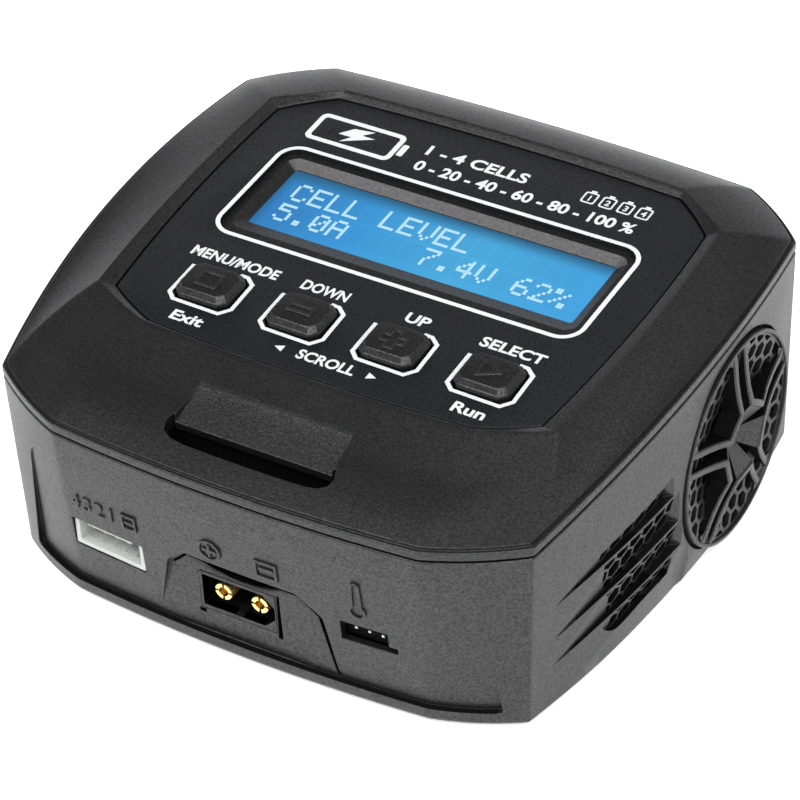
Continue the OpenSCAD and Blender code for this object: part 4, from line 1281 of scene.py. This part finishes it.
def honeycomb():
    """Flat plate with hexagonal holes, dished towards the hub."""
    pitch = 3.62
    curve = bpy.data.curves.new("honeycomb", "CURVE")
    curve.dimensions = "2D"
    curve.fill_mode = "BOTH"
    curve.extrude = 0.45 * MM

    def add_loop(points):
        spline = curve.splines.new("POLY")
        spline.points.add(len(points) - 1)
        for i, p in enumerate(points):
            spline.points[i].co = (p[0] * MM, p[1] * MM, 0, 1)
        spline.use_cyclic_u = True

    add_loop(circle(19.2, 120))
    for i in range(-7, 8):
        for j in range(-7, 8):
            x = j * pitch * 0.866
            y = i * pitch + (j % 2) * pitch / 2
            if not 3 < math.hypot(x, y) <= 20:
                continue
            hole = circle(1.62, 6, x, y, 0)
            for degrees in range(0, 360, 10):
                a = math.radians(degrees)
                hole = clip(hole, (math.cos(a), math.sin(a)), 18.6)
            if area(hole) > 0.7:
                add_loop(hole)
    verts, faces = curve_shape(curve)
    dished = []
    for u, v, w in verts / MM:
        dish = 3.0 * (1 - min(1.0, math.hypot(u, v) / 18.5)) ** 1.2
        dished.append(on_fan(u, v, FAN_X - 1.0 - dish + w))
    return dished, faces


def honeycomb_material():
    """The grille plastic, with painted shadow darkening it and dimming its reflection towards the
    hub.
    """
    name = "case_plastic_honeycomb"
    material = MAT["case_plastic_grille"].copy()
    material.name = name
    MAT[name] = material
    graph = Graph(material.node_tree)
    shader = next(n for n in graph.tree.nodes if n.type == "BSDF_PRINCIPLED")
    offset = graph.vector("SUBTRACT", graph.coords(), (0, FAN_Y * MM, FAN_Z * MM))
    flat = graph.vector("MULTIPLY", offset.outputs[0], (0, 1, 1))
    radius = graph.vector("LENGTH", flat.outputs[0]).outputs["Value"]
    # the ramp runs over 20 mm of radius
    painted_hub_shade = graph.ramp(graph.product(radius, 1 / 0.02),
                      [(0.0, grey(0.0)), (0.42, grey(0.03)), (0.6, grey(0.5)),
                       (0.74, grey(1.0)), (1.0, grey(1.0))])
    base = shader.inputs["Base Color"].links[0].from_socket
    graph.set(shader, Base_Color=graph.mix(painted_hub_shade, grey(0.001), base),
              Specular_IOR_Level=graph.product(painted_hub_shade, 0.5))


parts = [loft([level(circle(r, 144), FAN_X + x, on_fan) for r, x in RIM], closed=True)]
for k in range(5):
    parts += window_frame(spoke_place(52 + 72 * k))
# the slot floors are near-black sheets, painted shade in the slots
slot_floors = []
for k in range(5):
    place = spoke_place(88 + 72 * k)
    slot_floors.append(slot_block(place, 1.9, FAN_X - 2.9,
                                  ((1.2, FAN_X - 2.5), (RIM_INNER, FAN_X - 2.5))))
    # sloped stop at the outer end of the slot
    parts.append(slot_block(place, 1.35, FAN_X - 2.6,
                            ((17.3, FAN_X - 1.6), (RIM_INNER, FAN_X - 0.35))))
grille = solid("vis_fan_grille", join(parts))
shade(grille, 22)

honeycomb_material()
give(build("vis_fan_honeycomb", honeycomb(), 30), "case_plastic_honeycomb")
give(solid("vis_fan_slot_floor", join(slot_floors)), "shadow_nylon")
give(grille, "case_plastic_grille", "fan_grille")


def on_bar_side(centre, normal, face):
    radius = math.hypot(centre.y - FAN_Y, centre.z - FAN_Z)
    return abs(normal.x) < 0.3 and radius < 18.9 and centre.x < FAN_X - 0.2


# painted shade on the inner sides of the bars below the rim
paint(grille, "shadow_nylon", on_bar_side)

# ------------------------------------------------------------------ main output socket


def keyed(w, h, c, radius):
    """Rounded rectangle with its two right-hand corners cut by c."""
    return round_poly([(-w / 2, -h / 2), (w / 2 - c, -h / 2), (w / 2, -h / 2 + c),
                       (w / 2, h / 2 - c), (w / 2 - c, h / 2), (-w / 2, h / 2)], radius, 3)


socket_outline = round_poly(round_rect(15.0, 8.1, 0.35, -0.15, 0), 0.2, 1)
output = solid("vis_output_socket", prism(socket_outline, 50.0, 51.9, on_output))
cut(output, prism(keyed(14.4, 6.9, 2.2, 0.25), 40, 60, on_output))
# cavity lining: width, height, corner cut, distance in front of the origin
LINING = ((15.0, 7.5, 2.3, 50.6), (15.0, 7.5, 2.3, 38.0), (14.4, 6.9, 2.2, 38.4),
          (14.4, 6.9, 2.2, 51.7))
lining = loft([level(keyed(w, h, c, 0.3), y, on_output) for w, h, c, y in LINING],
              cap0=False, cap1=False)
back = prism(keyed(14.6, 7.1, 2.2, 0.3), 38.0, 41.5, on_output)
nub = box(-1.9, -51.6, 9.4, -0.5, -44, 10.15)
# the cavity lining and nub are near-black as painted shade inside the socket
give(solid("vis_output_socket_cavity", join([lining, back, nub])), "shadow_nylon")
shade(output, 30)
give(output, "case_plastic", "output_socket")


def split_contact(x):
    """Tube split in four, tapered at its front end, on a solid plug."""
    front, rear = -50.97, -41.5
    z = SOCKET_Z
    shapes = []
    for quarter in range(4):
        start, end = math.radians(quarter * 90 + 9), math.radians(quarter * 90 + 90 - 9)
        arc = [start + (end - start) * i / 9 for i in range(10)]
        ring_part = [(x + r * math.cos(t), z + r * math.sin(t))
                     for r, angles in ((1.78, arc), (1.0, arc[::-1])) for t in angles]
        tip = [((p[0] - x) * 0.93 + x, (p[1] - z) * 0.93 + z) for p in ring_part]
        shapes.append(loft([level(ring_part, rear, standing),
                            level(ring_part, front + 0.35, standing),
                            level(tip, front, standing)]))
    return shapes + [prism(circle(1.75, 32, x, z), 36, 46.5, on_front)]


contacts = solid("vis_output_contacts", join(split_contact(OUTPUT_X - 3.62)
                                             + split_contact(OUTPUT_X + 3.62)))
shade(contacts, 30)
give(contacts, "gold_contact", "output_contacts")

# ------------------------------------------------------------------ balance and temperature sockets
PIN_HALF = 0.32
BALANCE_PITCH, TEMP_PITCH = 2.5, 2.54


def pin(place, x, z, stations):
    """Square pin along y from (y, scale) stations."""
    return loft([[place(x + a * scale, y, z + b * scale) for a, b in centred(PIN_HALF, PIN_HALF)]
                 for y, scale in stations])


balance = solid("vis_balance_socket", prism(round_poly(round_rect(14.9, 5.8, 0.25), 0.1, 1),
                                            -0.15, 7.2, upright(on_balance)))
cut(balance, prism(round_rect(13.1, 4.05, 0.2, 0, 0.05), -6, 3.4, upright(on_balance)))
cut(balance, *[prism(round_rect(1.15, 3.6, 0.1, i * BALANCE_PITCH, -0.35), 1.3, 6.6,
                     upright(on_balance)) for i in range(-2, 3)])
# corner notches in the top wall
cut(balance, box(-6.55, -4, 1.0, -4.6, 2.4, 4, on_balance),
    box(5.0, -4, 1.0, 6.55, 2.4, 4, on_balance))
shade(balance, 30)
give(balance, "white_nylon", "balance_socket")

# each pin runs back and then down
parts = []
for i in range(-2, 3):
    x = i * BALANCE_PITCH
    parts.append(pin(on_balance, x, 0, ((1.6, 0.45), (1.95, 1.0), (9.2, 1.0))))
    parts.append(box(x - PIN_HALF, 9.2, -5.7, x + PIN_HALF, 9.84, PIN_HALF, on_balance))
pins = solid("vis_balance_pins", join(parts))
shade(pins, 30)
give(pins, "tinned_steel", "balance_pins")

temp_outline = [(p[0] * 0.985, p[1] * 0.97) for p in TEMP_OUTLINE]
give(solid("vis_temp_socket", prism(temp_outline, 0.9, 7.0, upright(on_temp))),
     "shadow_nylon", "temp_socket")
pins = solid("vis_temp_pins", join([
    pin(on_temp, i * TEMP_PITCH - 0.3, -0.35, ((0.5, 0.5), (0.6, 0.85), (8.8, 0.85)))
    for i in (-1, 0, 1)]))
shade(pins, 30)
give(pins, "tinned_steel", "temp_pins")

# ------------------------------------------------------------------ raised marks on the fascia


def front_edge(outline, x):
    t = (x + outline[0]) / (2 * outline[0])
    return -(outline[1] + 4 * SAG_WALL[0] * t * (1 - t))


def on_fascia(x, z, height):
    """Point in front of the let-in wall, which turns back beyond its front edge."""
    share = z / FASCIA_Z
    y = front_edge(FASCIA_BASE, x) * (1 - share) + front_edge(FASCIA_TOP, x) * share
    if abs(x) > 34.6:
        y += (abs(x) - 34.6) * 0.55
    return (x, y - height, z)


def mark_border(outer, inner):
    return border(outer, inner, -0.15, 0.35, on_fascia)


def mark_flat(outline):
    return prism(outline, -0.15, 0.35, on_fascia)


def thermometer(radius, top_z, half):
    """Outline with a bulb at the bottom and a stem of half-width half."""
    x = 23.4
    bulb = [(x + radius * math.sin(math.radians(a)), 21.8 - radius * math.cos(math.radians(a)))
            for a in range(-145, 146, 15)]
    return bulb + [(x + half, top_z - 0.6), (x + half * 0.7, top_z - 0.15), (x, top_z),
                   (x - half * 0.7, top_z - 0.15), (x - half, top_z - 0.6)]


# digits, boxed minus, ringed plus, boxed minus and thermometer, from the left
marks = [lettering(digit, -33.0 + i * 2.6, 21.9, 3.2, 0.0, 0.3, on_fascia)
         for i, digit in enumerate("4321")]
marks += [
    mark_border(rect(-22.9, 21.8, -19.9, 25.1), rect(-22.5, 22.2, -20.3, 24.7)),
    mark_flat(round_rect(1.7, 0.42, 0.1, -21.4, 23.5, 3)),
    mark_border(circle(2.25, 40, -4.7, 24.6), circle(1.8, 40, -4.7, 24.6)),
    mark_flat(moved(plus(1.35, 0.26), -4.7, 24.6)),
    mark_border(rect(4.3, 22.7, 8.6, 26.5), rect(4.72, 23.12, 8.18, 26.08)),
    mark_flat(round_rect(2.8, 0.5, 0.1, 6.46, 24.9, 3)),
    mark_border(thermometer(1.6, 28.6, 0.9), thermometer(1.15, 28.15, 0.45))]
give(solid("vis_front_marks", join(marks), 30), "case_plastic")

# ------------------------------------------------------------------ remaining CAD pieces
FINISHES = {
    "black_nylon": "plunger_stop plunger_dec plunger_inc plunger_start fan_frame fan_rotor "
                   "ac_inlet power_transistors controller_chips buzzer",
    "tinned_steel": "tact_switches fan_shaft ac_pins fuse_caps",
    "board": "control_pcb lcd_pcb main_pcb",
    "screw_steel": "control_pcb_screws fan_screws main_pcb_screws case_screws",
    "black_steel": "lcd_frame",
    "gold_contact": "lcd_header",
    "ferrite": "transformer_core",
    "yellow_tape": "transformer_winding choke_core",
    "capacitor_sleeve": "input_capacitor output_capacitors",
    "aluminium": "capacitor_caps heatsink",
    "copper_wire": "choke_winding",
    "fuse_glass": "fuse_body",
    "cable_grey": "link_cable",
    "foot_rubber": "rubber_feet"}


def finish_piece(obj, material):
    """Give a CAD piece its material, welded points and softened edges."""
    obj.data.materials.clear()
    obj.data.materials.append(material)
    weld = obj.modifiers.new("weld", "WELD")
    weld.merge_threshold = 0.000002
    bevel = obj.modifiers.new("bevel", "BEVEL")
    bevel.width = 0.00012
    bevel.segments = 2
    bevel.limit_method = "ANGLE"
    bevel.angle_limit = math.radians(40)
    bevel.use_clamp_overlap = True
    normals = obj.modifiers.new("wn", "WEIGHTED_NORMAL")
    normals.keep_sharp = True


for material, names in FINISHES.items():
    for name in names.split():
        finish_piece(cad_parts[name], MAT[material])

# ------------------------------------------------------------------ floor and world
graph, shader = new_material("stage_floor")
cloud = graph.noise(graph.coords(), 12.0, detail=4.0)
graph.set(shader, Base_Color=graph.mix(cloud, grey(0.93), grey(0.95)), Roughness=0.85,
          Specular_IOR_Level=0.1, Emission_Color=grey(1), Emission_Strength=0.5)
floor = build("stage_floor", ([(x, y, 0) for x, y in centred(3000, 3000)], [(0, 1, 2, 3)]))
floor.data.materials.append(MAT["stage_floor"])
floor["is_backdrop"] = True

world = bpy.data.worlds.new("w")
bpy.context.scene.world = world
world.use_nodes = True
world.node_tree.nodes.clear()
graph = Graph(world.node_tree)
direction = graph.add("ShaderNodeSeparateXYZ", Vector=graph.coords("Generated"))
# bright at the horizon and below, dark overhead: height, grey level
SKY = ((0.21, 1.0), (0.34, 0.63), (0.5, 0.24), (0.6, 0.10), (0.77, 0.035))
sky = graph.ramp(direction.outputs[2],
                 [(0.0, (1.0, 1.0, 1.02, 1))] + [(at, (c, c, c * 1.03, 1)) for at, c in SKY]
                 + [(1.0, (0.045, 0.045, 0.048, 1))])
background = graph.add("ShaderNodeBackground", Color=sky, Strength=1.2)
graph.add("ShaderNodeOutputWorld", Surface=background.outputs[0])

# ------------------------------------------------------------------ lights


def area_light(name, location, size_m, power):
    """Square light, in metres and watts, aimed at the origin."""
    light = bpy.data.lights.new(name, "AREA")
    light.shape = "RECTANGLE"
    light.size = light.size_y = size_m
    light.energy = power
    obj = bpy.data.objects.new(name, light)
    obj.location = location
    obj.rotation_euler = (-Vector(location)).to_track_quat("-Z", "Y").to_euler()
    bpy.context.scene.collection.objects.link(obj)


area_light("key_soft", location=(-0.38, -0.62, 1.15), size_m=0.62, power=13)
area_light("front_right_soft", location=(0.75, -0.85, 1.2), size_m=1.0, power=22)
area_light("top_soft", location=(0.1, 0.5, 1.4), size_m=0.9, power=3)

# ------------------------------------------------------------------ camera
CAMERA_AT = (0.26423, -0.41560, 0.41754)
# heading from +y towards +x, pitch above the horizon, roll about the view
yaw, pitch, roll = (math.radians(a) for a in (-32.405, -38.935, -3.346))
camera = bpy.data.cameras.new("cam")
camera.sensor_width = 36
camera.lens = 161.2521
camera.clip_start = 0.01
camera.clip_end = 20
camera_object = bpy.data.objects.new("cam", camera)
bpy.context.scene.collection.objects.link(camera_object)
forward = Vector((math.sin(yaw) * math.cos(pitch), math.cos(yaw) * math.cos(pitch),
                  math.sin(pitch)))
level_right = Vector((math.cos(yaw), -math.sin(yaw), 0))
level_up = level_right.cross(forward)
right = level_right * math.cos(roll) + level_up * math.sin(roll)
up = -level_right * math.sin(roll) + level_up * math.cos(roll)
turn = Matrix((right, up, -forward)).transposed()
camera_object.matrix_world = Matrix.Translation(CAMERA_AT) @ turn.to_4x4()
bpy.context.scene.camera = camera_object
bpy.context.scene.view_settings.view_transform = "Standard"
bpy.context.scene.view_settings.look = "None"

size["before_finish"] = plain(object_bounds())
